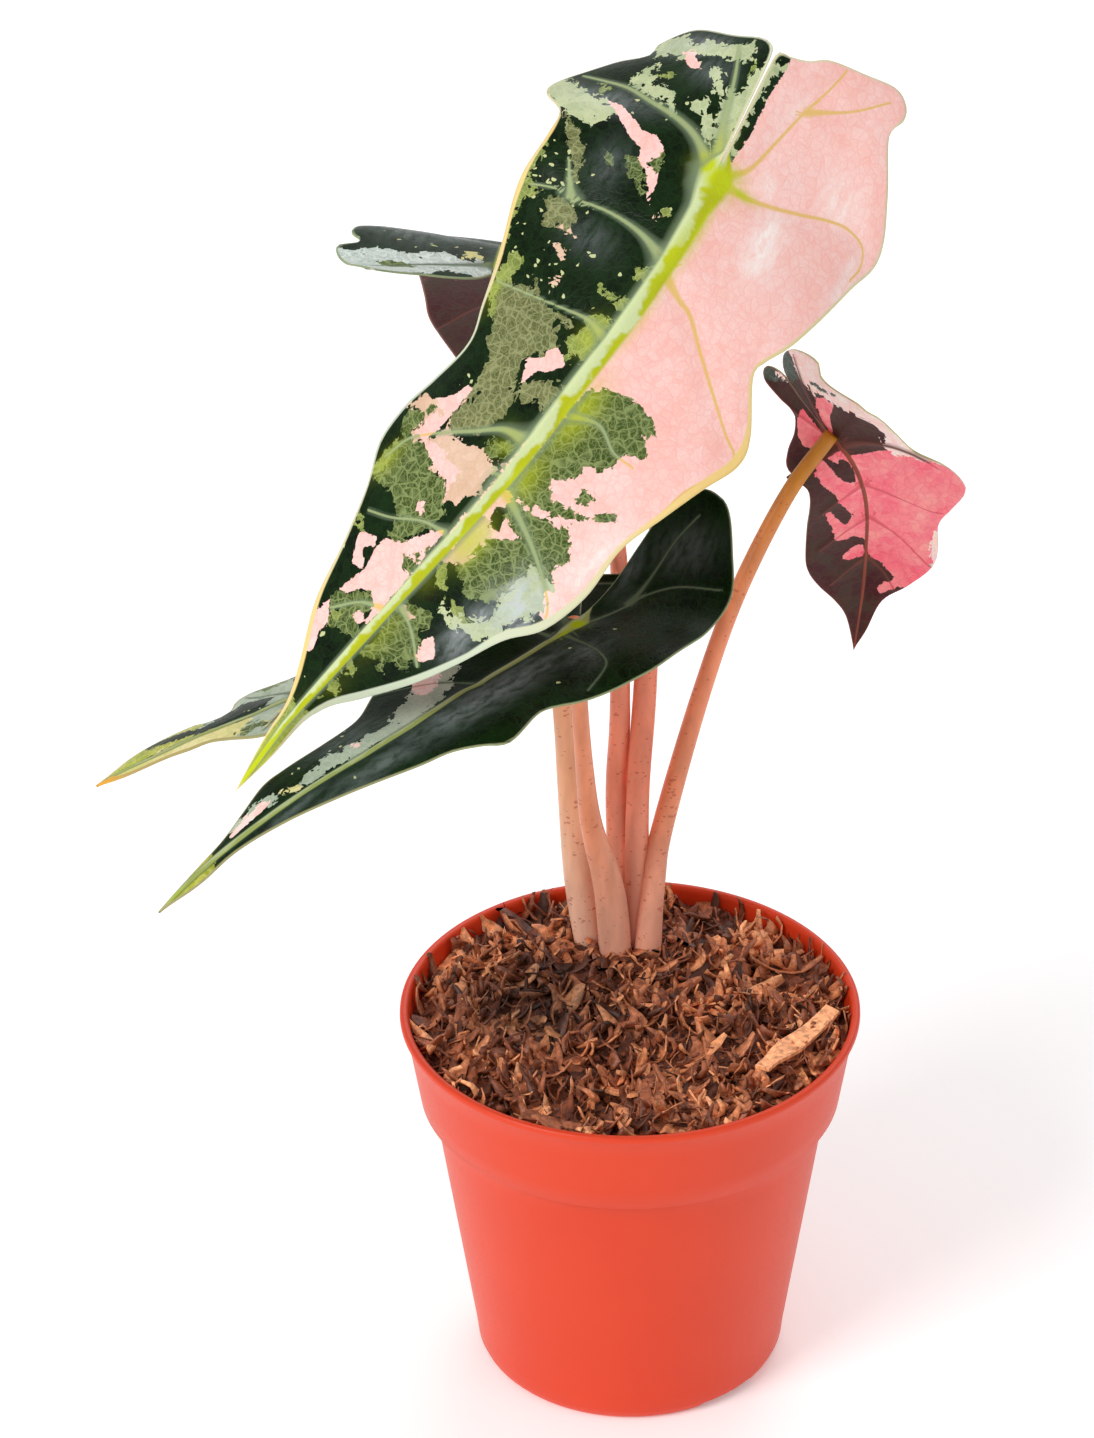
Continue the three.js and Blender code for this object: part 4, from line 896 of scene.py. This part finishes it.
# The thin margin without green, up the left side and the right, as (height, width, tone), where
# tone runs from 0, a creamy yellow, to 1, a pale blue green
MARGINS = {
    "leaf_1": ([(-40, 0.5, 0.7), (0, 0.8, 0.6), (25, 1.0, 0.4), (42, 1.2, 0.1), (50, 2.6, 0),
        (60, 2.2, 0), (72, 1.6, 0.1), (84, 1.2, 0.3), (100, 1.8, 0.7), (118, 2.6, 0.9),
        (130, 1.6, 1.0), (145, 2.2, 1.0), (158, 2.4, 1.0), (166, 1.6, 0.9), (175, 0.9, 0.7),
        (186, 0.3, 0.5)],
        [(-40, 0.5, 0.9), (-6, 0.5, 0.6), (2, 1.1, 0), (10, 0.9, 0.3), (22, 1.6, 0.1), (34, 1.2, 0.1),
         (46, 1.6, 0.2), (62, 0.9, 0.8), (84, 0.8, 1.0), (104, 0.9, 1.0), (118, 0.6, 0.8),
         (135, 0.9, 0.5), (148, 1.5, 0.1), (162, 1.5, 0), (172, 0.9, 0.2), (186, 0.3, 0.3)]),
    "leaf_2": ([(0, 0.3, 1), (143, 0.5, 0.8)], [(0, 0.35, 1), (143, 0.5, 0.8)]),
    "leaf_3": ([(0, 0.4, 1), (80, 0.8, 0.9), (110, 0.8, 0.7), (124, 0.8, 0.6), (129, 1.4, 0.2),
        (132, 3, 0)],
        [(0, 0.4, 1), (80, 1.2, 0.9), (100, 1.0, 0.8), (125, 0.8, 0.6), (135, 1, 0.2)]),
    "leaf_4": ([(0, 0.5, 1), (144, 0.4, 1)], [(0, 0.5, 1), (144, 0.4, 1)]),
    "leaf_5": ([(-20, 0.2, 1), (81, 0.2, 1)], [(0, 0, 1), (81, 0, 1)]),
}
# Where a sheen of highlights and reflections is painted on the skin, as (x, y, half width,
# half height, strength)
PAINTED_SHEENS = {
    "leaf_1": [(-20, 7, 4.5, 9, 0.95), (-34, -14, 9, 6, 0.5), (-45, 2, 2.5, 9, 0.5),
        (-13, -6, 4, 4, 0.5), (38, -12, 12, 4, 0.3), (26, -36, 13, 4, 0.35), (14, -28, 6, 4, 0.2),
        (-24, 112, 5.5, 8, 0.95), (-18.5, 129, 3.5, 6, 0.5), (-20, 120, 4, 3, 0.6),
        (-31, 92, 3, 12, 0.45), (26, 6, 5, 7, 0.15), (-10, -24, 4, 8, 0.3), (20, 28, 7, 5, 0.12)],
    "leaf_2": [(-6.5, 42, 5, 26, 0.85), (-8, 80, 3, 16, 0.55), (7, 76, 4, 12, 0.35),
        (-13, 14, 6, 8, 0.4), (-18, -30, 9, 7, 0.35), (-5, -22, 3, 9, 0.35), (-4, 102, 1.5, 10, 0.4)],
    "leaf_3": [(-12, 92, 4, 6, 0.2)],
    "leaf_4": [(-20, 20, 16, 12, 0.7), (10, 10, 14, 14, 0.4)],
    "leaf_5": [],
}
# Where the skin is tinted yellow green, along the midrib and at the joint
TINTS = {
    "leaf_1": [(-0.8, 22, 2.4, 18, 0.62), (-2, 0, 5, 5, 1.0), (-8, -0.5, 4.5, 1.6, 1.0),
        (-4.5, -3, 3.5, 3, 0.8), (3, -2.5, 3.5, 3.5, 1.0), (1.5, -8, 2.5, 5, 0.5),
        (-3.2, 14, 1.8, 14, 0.7), (-3.2, 38, 1.4, 14, 0.5), (-5, 66, 4, 9, 0.8), (-4.5, 87, 4, 8, 0.7),
        (-5, 106, 3.5, 8, 0.9), (-3, 140, 3, 10, 0.25), (-3, 158, 3, 6, 0.15), (0.5, 188, 3, 14, 1.0),
        (4, 49, 4, 5, 0.5), (4, 82, 5, 4, 0.4), (31, 110, 3, 6, 0.4), (37, 57, 3, 7, 0.3),
        (-3, 121, 3, 4, 0.4)],
    "leaf_2": [(-2.2, 1.8, 3.2, 2.8, 1.0), (-1.6, 7, 1.3, 6, 0.8), (0, 138, 3, 8, 0.6)],
    "leaf_3": [(0, 0, 3, 3, 1.0), (0, 126, 6, 8, 0.4)],
    "leaf_4": [(0, 0, 3, 3, 1.0)],
    "leaf_5": [],
}
# Where lone cells lost or kept their green, in loose swarms
SWARMS = {
    "leaf_1": [(40, 15, 6, 12, 1.0), (27, 37, 11, 7, 0.9), (14, 38, 8, 6, 0.6), (22, 44, 7, 4, 1.0),
        (8, 16, 4, 5, 0.6), (28, 20, 4, 3, 0.8), (17, -15, 8, 5, 0.5), (12, 4, 3, 9, 0.4),
        (-12, 152, 8, 6, 0.9), (-5, 125, 6, 5, 0.6), (12, 152, 4, 6, 0.7), (22, 127, 6, 4, 0.6),
        (24, 80, 5, 8, 0.5), (-16, 97, 5, 5, 0.4)],
    "leaf_2": [(-10, 20, 14, 12, 0.1), (8, 84, 4, 14, 0.3)],
    "leaf_3": [(0, 80, 14, 12, 0.3)],
    "leaf_4": [(-22, 8, 12, 10, 0.4)],
    "leaf_5": [],
}


def smooth_step(t):
    """Eases t from 0 to 1."""
    return t * t * (3 - 2 * t)


def bezier(points, t):
    """Places on a cubic Bezier curve."""
    a, b, c, d = points
    t = t[:, None]
    return a * (1 - t) ** 3 + 3 * b * t * (1 - t) ** 2 + 3 * c * t * t * (1 - t) + d * t ** 3


def bezier_slope(points, t):
    """Directions along a cubic Bezier curve."""
    a, b, c, d = points
    t = t[:, None]
    return (b - a) * (1 - t) ** 2 + 2 * (c - b) * t * (1 - t) + (d - c) * t * t


def places(numbers):
    """Numbers written as x, y, x, y and so on, as places."""
    return np.reshape(np.array(numbers, float), (-1, 2))


class Blade:
    """One leaf's flat blank and the way it is bent."""

    def __init__(self, shape):
        self.__dict__.update(shape)
        self.spine = np.array(self.spine, float)
        self.face = unit(np.array(self.face, float))
        self.steps = np.linspace(0, 1, 201)
        lengths = np.linalg.norm(np.diff(bezier(self.spine, self.steps), axis=0), axis=1)
        self.arc = np.concatenate([[0], np.cumsum(lengths)])
        self.length = self.arc[-1]

    def eased(self, sides, x, y):
        """Four values a side in degrees, eased between the rear lobes, joint, half way and tip,
        for the side that each point is on."""
        stops = np.array([-self.lobe, 0, self.length / 2, self.length])
        i = np.clip(np.searchsorted(stops, y, side="right") - 1, 0, 2)
        t = smooth_step(np.clip((y - stops[i]) / (stops[i + 1] - stops[i]), 0, 1))
        right, left = [v[i] + (v[i + 1] - v[i]) * t for v in np.radians(sides)]
        return np.where(x < 0, left, right)

    def midrib(self, y):
        """The midrib's point and its three directions: to the tip, up and right."""
        ahead = np.clip(y, 0, self.length)
        t = np.interp(ahead, self.arc, self.steps)
        point, forward = bezier(self.spine, t), unit(bezier_slope(self.spine, t))
        share = smooth_step(ahead / self.length)[:, None]
        up = unit(self.face[0] + (self.face[1] - self.face[0]) * share)
        up = unit(up - (up * forward).sum(1, keepdims=True) * forward)
        bend = math.radians(self.rear) / self.lobe
        turn = bend * np.maximum(-y, 0)[:, None]
        point = point + (-forward * np.sin(turn) + up * (1 - np.cos(turn))) / bend
        forward, up = (forward * np.cos(turn) - up * np.sin(turn),
                       up * np.cos(turn) + forward * np.sin(turn))
        return point, forward, up, np.cross(forward, up)

    def points(self, x, y):
        """Points of the flat blank on the bent leaf, in millimetres."""
        point, _, up, right = self.midrib(y)
        side, out = np.where(x < 0, -1, 1), np.abs(x)
        fold, curl = self.eased(self.fold, x, y), self.eased(self.curl, x, y) / self.width
        curl = np.where(np.abs(curl) < 1e-6, 1e-6, curl)
        across = (np.sin(fold + curl * out) - np.sin(fold)) / curl
        down = (np.cos(fold) - np.cos(fold + curl * out)) / curl
        height, length, shift = self.wave
        ripple = height * (out / self.width) ** 2 * np.sin(
            2 * np.pi * y / length + math.radians(shift) * side)
        return point + right * (side * across)[:, None] + up * (ripple - down)[:, None]

    def normals(self, x, y, step=0.5):
        """The bent leaf's upward directions at points of the flat blank."""
        along_x = self.points(x + step, y) - self.points(x - step, y)
        along_y = self.points(x, y + step) - self.points(x, y - step)
        return unit(np.cross(along_x, along_y))

    def margin(self, numbers):
        """Places on the margin, the same distance apart, one for each row."""
        corners = places(numbers)
        curve = catmull_rom(corners, MARGIN_STEPS * (len(corners) - 1))
        arc = np.concatenate([[0], np.cumsum(np.linalg.norm(np.diff(curve, axis=0), axis=1))])
        even = np.linspace(0, arc[-1], self.rows + 1)
        return np.stack([np.interp(even, arc, curve[:, i]) for i in (0, 1)], 1)

    def blank(self):
        """Rows of the blank run like its side veins, from the midrib out to both margins."""
        right, left = self.margin(self.right), self.margin(self.left)
        right[:, 0], left[:, 0] = np.maximum(right[:, 0], 0), -np.maximum(left[:, 0], 0)
        column = np.arange(-self.columns, self.columns + 1)
        share = np.abs(column) / self.columns
        grid, root = [], FIRST_ROOT
        for r, l in zip(right, left):
            reach = (r[0] - l[0]) / 2
            root = max(root + ROOT_RUN / self.rows, (r[1] + l[1]) / 2 - VEIN_SLANT * reach)
            ends = np.where(column[:, None] < 0, l, r)
            grid.append(np.stack([ends[:, 0] * share, root + (ends[:, 1] - root) * share], 1))
        grid[-1][:] = (0, self.length)
        return np.array(grid)


def to_polyline(points, line, closed=False):
    """The distance from each point to a line, its signed side, and how far along it lies."""
    if closed:
        line = np.vstack([line, line[:1]])
    best = np.full(len(points), 1e9)
    side, along = np.zeros(len(points)), np.zeros(len(points))
    arc, total = 0.0, np.linalg.norm(np.diff(line, axis=0), axis=1).sum()
    for a, b in zip(line, line[1:]):
        step = b - a
        size = math.hypot(*step)
        t = np.clip(((points - a) @ step) / size ** 2, 0, 1)
        off = points - (a + t[:, None] * step)
        gap = np.hypot(off[:, 0], off[:, 1])
        nearer = gap < best
        turn = step[0] * off[:, 1] - step[1] * off[:, 0]
        best = np.where(nearer, gap, best)
        side = np.where(nearer, np.sign(turn), side)
        along = np.where(nearer, (arc + t * size) / total, along)
        arc += size
    return best, side, along


def inside(points, outline):
    """True for the points that lie inside a closed outline."""
    found = np.zeros(len(points), bool)
    for (ax, ay), (bx, by) in zip(outline, np.roll(outline, -1, axis=0)):
        crosses = (ay > points[:, 1]) != (by > points[:, 1])
        at = ax + (points[:, 1] - ay) / ((by - ay) or 1e-9) * (bx - ax)
        found ^= crosses & (points[:, 0] < at)
    return found


def paint(points, patches):
    """How deep each point lies in each kind of skin, in millimetres, below 0 outside it. The
    whole leaf starts dark."""
    fields = {kind: np.full(len(points), FAR if kind == "dark" else -FAR) for kind in KINDS}
    for patch, *numbers in patches:
        outline = places(numbers)
        gap = to_polyline(points, outline, closed=True)[0]
        depth = np.clip(np.where(inside(points, outline), gap, -gap), -FAR, FAR)
        for kind, was in fields.items():
            fields[kind] = np.maximum(was, depth) if kind == patch else np.minimum(was, -depth)
    return fields


def spotted(x, y, spots):
    """How strongly the soft spots show at each point, from 0 to 1."""
    shown = np.zeros(len(x))
    for at_x, at_y, wide, high, strength in spots:
        spot = np.exp(-((x - at_x) / wide) ** 2 - ((y - at_y) / high) ** 2)
        shown = np.maximum(shown, strength * spot)
    return shown


def up_leaf(y, table):
    """The columns of a table after its first, the height, read at each point's height."""
    height, *columns = np.array(table).T
    return [np.interp(y, height, column) for column in columns]


def make_leaf(name, number, blade):
    """The blade as one closed skin: an upper and a lower sheet that meet at the margin."""
    grid = blade.blank()
    rows, columns = grid.shape[0] - 1, grid.shape[1]
    flat = grid.reshape(-1, 2)[:rows * columns + 1]
    x, y = flat.T
    edge = to_polyline(flat, np.vstack([grid[:, -1][::2], grid[::-1, 0][::2]]), closed=True)[0]
    middle, half = up_leaf(y, MIDRIBS[name])
    rib = (x - middle) / half
    ratio, near, gap = np.full((3, len(x)), FAR)
    for width, *numbers in SIDE_VEINS[name]:
        line = places(numbers)
        line = catmull_rom(line, VEIN_STEPS * (len(line) - 1))
        distance, side, along = to_polyline(flat, line)
        run = np.linalg.norm(np.diff(line, axis=0), axis=1).sum()
        flare = VEIN_FLARE * width * np.exp(-along * run / VEIN_FLARE_RUN)
        reach = np.maximum(width * (1 - VEIN_TAPER * along) + flare, VEIN_LEAST)
        closer = distance / reach < near
        ratio = np.where(closer, side * distance / reach, ratio)
        near = np.where(closer, distance / reach, near)
        gap = np.minimum(gap, distance)
    ridge = np.exp(-(rib * 1.1) ** 2) * np.clip(half / 2.2, 0.2, 1)
    quilt = QUILT * (1 - np.exp(-(gap / QUILT_WIDTH) ** 2)) * np.clip(edge / QUILT_EDGE, 0, 1)
    inner = np.clip(edge / SKIN_EDGE_WIDTH, 0, 1)
    thick = SKIN_EDGE_HALF + (SKIN_HALF - SKIN_EDGE_HALF) * inner
    raised = RIB_UNDER * ridge + VEIN_UNDER * np.exp(-(gap / VEIN_UNDER_WIDTH) ** 2)
    centre, normal = blade.points(x, y), blade.normals(x, y)
    top = thick + quilt + RIB_TOP * ridge
    below = thick + raised - 0.6 * quilt
    points = np.vstack([centre + normal * top[:, None], centre - normal * below[:, None]])

    # Every corner of the last row is one point, the tip, so the faces there drop a corner
    index = np.minimum(np.arange((rows + 1) * columns), rows * columns)
    index = index.reshape(rows + 1, columns)
    upper = np.stack([index[:-1, :-1], index[:-1, 1:], index[1:, 1:], index[1:, :-1]], -1)
    upper = upper.reshape(-1, 4)
    under = len(flat)
    wall = [(p, q, q + under, p + under) for p, q in zip(index[:-1, 0], index[1:, 0])]
    for border in (index[:, -1], index[0]):
        wall += [(q, p, p + under, q + under) for p, q in zip(border, border[1:])]
    faces, slots = [], []
    for corners, slot in ((upper, 0), (np.array(wall), 0), (upper[:, ::-1] + under, 1)):
        for face in corners.tolist():
            if face[2] == face[3]:
                face = face[:3]
            elif face[0] == face[1]:
                face = face[1:]
            faces.append(face)
            slots.append(slot)
    leaf = mesh_object(f"blade_{number}", points, faces)
    leaf.data.polygons.foreach_set("material_index", slots)

    width, tone = [np.where(x < 0, *sides)
                   for sides in zip(*(up_leaf(y, side) for side in MARGINS[name]))]
    fields = dict(paint(flat, MARKINGS[name]), rib=np.clip(rib, -NEAR, NEAR),
                  vein=np.clip(ratio, -NEAR, NEAR), vein_near=np.clip(near, 0, NEAR),
                  # The painted sheen of highlights and reflections is stored with the patches
                  rim=width - edge, rim_tone=tone, painted_sheen=spotted(x, y, PAINTED_SHEENS[name]),
                  tint=spotted(x, y, TINTS[name]), swarm=spotted(x, y, SWARMS[name]))
    for label, values in fields.items():
        set_attribute(leaf, label, np.tile(values, 2))
    place = leaf.data.attributes.new("flat", "FLOAT_VECTOR", "POINT")
    spots = np.zeros((2 * len(flat), 3), np.float32)
    spots[:, :2] = np.tile(flat, (2, 1))
    spots[:, 2] = LEAF_SHIFT * number
    place.data.foreach_set("vector", spots.ravel())
    return leaf


# Living leaf skin: waxy and glossy above, matt below. Where green cells are missing the flesh
# shows pink, cream or silver, with ragged borders along the finest veins.
# Each kind of skin has its colour, the one it is mottled with and that of its fine veins. Then
# rib is its two flanks, vein its root, on green and on pink, rim its tones, then the painted
# sheen of highlights and reflections on pink and on green, and fleck on green and on pale skin
UPPER = dict(
    pink=("#fdd4cd", "#fcc4ba", "#ee8f86"), net=("#36471a", "#4b5c2a", "#8b9860"),
    veil=("#6c6f44", "#586036", "#9c9f70"), pale=("#c0ca9a", "#a2af84", "#dce0bd"),
    cream=("#e6c6ae", "#d9b598", "#c9a287"), lime=("#8a9850", "#6c7e3c", "#b4bb70"),
    dark=("#030d02", "#0e2608", "#1c3a12"), rib=("#b4bb1e", "#ccd8a2"),
    vein=("#bcc51e", "#a3b07c", "#e3bd62"), halo=("#7d8f70",), rim=("#f0cf84", "#d0dac0"),
    painted_sheen=("#fffaf6", "#c3ccce"), tint=("#c0cc1c",), fleck=("#c2c890", "#0a1a07"))
# The skin of the other four leaves, which lie in shade: a copy of the upper skin in their own colours,
# with its pink painted lighter to make up for the shade the first leaf casts on it
SHADED = dict(
    UPPER, rib=("#96a25a", "#a9b382"), vein=("#8d9a44", "#5f6e52", "#b08a70"),
    halo=("#36463a",), rim=("#e2a63a", "#8d9c76"), pink=("#ffe8e0", "#f8cabf", "#d79a8e"),
    veil=("#c8d2c8", "#a3b3aa", "#e0e8e2"), pale=("#b2bea6", "#96a68e", "#cdd6c6"),
    cream=("#e4dca0", "#d2cc84", "#b0a870"), lime=("#b9ba3e", "#84902c", "#d6d27c"),
    painted_sheen=("#f5e9e4", "#7d8a86"), tint=("#a9bd12",))
UNDER = dict(
    pink=("#ffa8a6", "#fc7488", "#d8486a"), net=("#5c3d31", "#6e4d3c", "#855c46"),
    veil=("#755444", "#80604e", "#94705a"), pale=("#a07e70", "#80604f", "#b89684"),
    cream=("#fff6f0", "#ffe2da", "#f6b0aa"), lime=("#3b4a42", "#4b5a50", "#66756a"),
    dark=("#461a22", "#463a30", "#5f4036"), rib=("#8a4638", "#93503c"),
    vein=("#a9503f", "#6f4038", "#dc5c6c"), halo=("#50352d",), rim=("#f0c4b0", "#8a6353"),
    painted_sheen=("#fbd9d2", "#8c7a72"), tint=("#a8414b",), fleck=("#7d5346", "#2c1613"))
# The coarse and the fine net of veins: size of a cell and half width of a line, in millimetres,
# and how strongly it shows. Real cells are finer, and are drawn as coarse as they need to show
NETS = ((2.5, 0.26, 1.0), (1.0, 0.14, 0.55))
NET_SHOWN = dict(pink=0.25, net=0.9, veil=0.8, pale=0.3, cream=0.3, lime=0.6, dark=0.3)
FLECK_CELL = 1.3


def leaf_skin(name, look, gloss, shine, flesh):
    """Leaf skin in the colours of look, over the patches, veins and spots that the mesh holds.
    gloss is its least and greatest roughness, and flesh the light that comes through it."""
    look = {part: [linear(colour) for colour in colours] for part, colours in look.items()}
    material, tree = new_material(name)
    flat = add(tree, "Attribute", out="Vector", attribute_name="flat")
    read = {label: add(tree, "Attribute", out="Fac", attribute_name=label) for label in (
        *KINDS, "rib", "vein", "vein_near", "rim", "rim_tone", "painted_sheen", "tint", "swarm")}

    # Warped millimetres, in which the nets of fine veins are laid out
    swirl = add(tree, "TexNoise", {"Vector": flat, "Scale": 0.3, "Detail": 3.0}, out="Color")
    warped = add(tree, "VectorMath", [swirl, (3.4, 3.4, 0), flat], operation="MULTIPLY_ADD")
    lines, cells = [], []
    for size, width, depth in NETS:
        cell = {"Vector": warped, "Scale": 1 / size}
        edge = add(tree, "TexVoronoi", cell, feature="DISTANCE_TO_EDGE")
        lines.append(add(tree, "MapRange", [edge, 0.2 * width / size, width / size, depth, 0.0]))
        cells.append(add(tree, "TexVoronoi", cell, out="Color"))
    net_line = add(tree, "Math", lines, operation="MAXIMUM")
    soft = add(tree, "TexNoise", {"Vector": flat, "Scale": 0.11, "Detail": 3.0, "Roughness": 0.6})
    cell_tone = add(tree, "SeparateXYZ", [cells[0]], out="Y")
    mottle = add(tree, "Math", [soft, 2.2, -0.85], operation="MULTIPLY_ADD")
    mottle = add(tree, "Math", [cell_tone, 0.5, mottle], operation="MULTIPLY_ADD", use_clamp=True)

    # Flecks: lone cells that lost or kept their green, where they swarm
    fleck_cell = add(tree, "TexVoronoi", {"Vector": warped, "Scale": 1 / FLECK_CELL}).node.outputs
    fleck_pick = add(tree, "SeparateXYZ", [fleck_cell["Color"]]).node.outputs
    speck_size = add(tree, "MapRange", [fleck_pick["Z"], 0, 1, 0.2, 0.5])
    small = add(tree, "Math", [fleck_cell["Distance"], speck_size], operation="LESS_THAN")
    limit = add(tree, "MapRange", [read["swarm"], 0, 1, 0.998, 0.72])
    flecks = []
    for pick in ("X", "Y"):
        fleck = add(tree, "Math", [fleck_pick[pick], limit], operation="GREATER_THAN")
        flecks.append(add(tree, "Math", [fleck, small], operation="MULTIPLY"))

    # The ragged borders: each kind of skin gets its own push, cell by cell, and the one that
    # then lies deepest shows. The last kind is pink, so its share is kept as pinkness.
    push = add(tree, "TexNoise", {"Vector": flat, "Scale": 0.4, "Detail": 2.0}, out="Color")
    push = add(tree, "VectorMath", [push, (1.8,) * 3, (-2.55,) * 3], operation="MULTIPLY_ADD")
    for cell, reach in zip(cells, (1.9, 1.4)):
        push = add(tree, "VectorMath", [cell, (reach,) * 3, push], operation="MULTIPLY_ADD")
    pushes = add(tree, "SeparateXYZ", [push]).node.outputs
    for i, kind in enumerate(reversed(KINDS)):
        main, other, line = look[kind]
        skin = add(tree, "Mix", [mottle, main, other])
        line_here = add(tree, "Math", [net_line, NET_SHOWN[kind]], operation="MULTIPLY")
        skin = add(tree, "Mix", [line_here, skin, line])
        if kind != "pink":
            pale = kind != "dark"
            skin = add(tree, "Mix", [flecks[pale], skin, look["fleck"][pale]])
        depth = add(tree, "Math", [pushes[i % 3], (1.0, -1.0, 0.5)[i // 3], read[kind]],
                    operation="MULTIPLY_ADD")
        if i == 0:
            colour, best = skin, depth
            continue
        ahead = add(tree, "Math", [depth, best], operation="SUBTRACT")
        pinkness = add(tree, "MapRange", [ahead, -0.07, 0.07])
        colour = add(tree, "Mix", [pinkness, colour, skin])
        best = add(tree, "Math", [depth, best], operation="MAXIMUM")

    # Painted sheen: highlights and reflections painted into the colour, in streaks; then the yellow
    # green tint
    painted_sheen_colour = add(tree, "Mix", [pinkness, look["painted_sheen"][1], look["painted_sheen"][0]])
    streaks = add(tree, "Mapping", {"Vector": warped, "Scale": (0.55, 0.16, 1)})
    streaks = add(tree, "TexNoise", {"Vector": streaks, "Scale": 1.0, "Detail": 3.0})
    streaks = add(tree, "MapRange", [streaks, 0.32, 0.62, 0.25])
    painted_sheen = add(tree, "Math", [read["painted_sheen"], streaks], operation="MULTIPLY")
    colour = add(tree, "Mix", [painted_sheen, colour, painted_sheen_colour])
    taken = add(tree, "MapRange", [read["dark"], -0.5, 0.5, 0.75, 0.3])
    tinted = add(tree, "Mix", [taken, colour, look["tint"][0]])
    colour = add(tree, "Mix", [read["tint"], colour, tinted])

    # Side veins: a soft halo on green skin, then the vein, lime at its root
    green = add(tree, "Math", [1.0, pinkness], operation="SUBTRACT")
    halo = add(tree, "MapRange", [read["vein_near"], 0.8, 2.6, 0.6, 0.0])
    halo = add(tree, "Math", [halo, green], operation="MULTIPLY")
    colour = add(tree, "Mix", [halo, colour, look["halo"][0]])
    size = add(tree, "Math", [read["vein"]], operation="ABSOLUTE")
    size = add(tree, "MapRange", [size, 0.4, 1.15, 1.0, 0.0])
    close = add(tree, "Math", [read["vein_near"], 2.2], operation="LESS_THAN")
    vein = add(tree, "Math", [size, close], operation="MULTIPLY")
    vein = add(tree, "Math", [vein, 0.85], operation="MULTIPLY")
    vein_colour = add(tree, "Mix", [pinkness, *look["vein"][1:]])
    vein_colour = add(tree, "Mix", [read["tint"], vein_colour, look["vein"][0]])
    colour = add(tree, "Mix", [vein, colour, vein_colour])

    # The midrib: lime on one flank, pale on the other, with a soft halo on green skin
    off = add(tree, "Math", [read["rib"]], operation="ABSOLUTE")
    halo = add(tree, "MapRange", [off, 0.9, 2.0, 0.8, 0.0])
    halo = add(tree, "Math", [halo, green], operation="MULTIPLY")
    colour = add(tree, "Mix", [halo, colour, look["halo"][0]])
    uneven = add(tree, "Math", [soft, 5.0, -2.5], operation="MULTIPLY_ADD")
    flank = add(tree, "Math", [read["rib"], uneven], operation="ADD")
    flank = add(tree, "MapRange", [flank, -0.2, 0.3])
    rib_colour = add(tree, "Mix", [flank, *look["rib"]])
    joint = add(tree, "MapRange", [read["tint"], 0.35, 0.8])
    rib_colour = add(tree, "Mix", [joint, rib_colour, look["tint"][0]])
    rib = add(tree, "MapRange", [off, 0.75, 1.15, 1.0, 0.0])
    colour = add(tree, "Mix", [rib, colour, rib_colour])

    # The margin
    rim = add(tree, "MapRange", [read["rim"], -0.15, 0.3])
    rim_colour = add(tree, "Mix", [read["rim_tone"], *look["rim"]])
    colour = add(tree, "Mix", [rim, colour, rim_colour])

    rough = add(tree, "MapRange", [mottle, 0, 1, *gloss])
    relief = add(tree, "Math", [net_line, -1.0], operation="MULTIPLY")
    bump = add(tree, "Bump", {"Height": relief, "Strength": 0.2, "Distance": 0.0002})
    add(tree, "OutputMaterial", [add(tree, "BsdfPrincipled", {
        "Base Color": colour, "Roughness": rough, "Normal": bump, "IOR": 1.45,
        "Specular IOR Level": shine, "Subsurface Weight": flesh, "Subsurface Scale": 0.002})])
    return material


upper_skin = leaf_skin("waxy_leaf_upper_skin", UPPER, gloss=(0.26, 0.4), shine=0.12, flesh=0.08)
shaded_skin = leaf_skin("waxy_shaded_leaf_skin", SHADED, gloss=(0.26, 0.4), shine=0.06,
                        flesh=0.08)
under_skin = leaf_skin("matte_leaf_underside", UNDER, gloss=(0.42, 0.55), shine=0.2, flesh=0.45)
for number, (name, shape) in enumerate(LEAF_SHAPES.items(), 1):
    leaf = make_leaf(name, number, Blade(shape))
    leaf.data.materials.append(upper_skin if number == 1 else shaded_skin)
    leaf.data.materials.append(under_skin)
    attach(leaf, "root")
    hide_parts(f"leaf_{number}")
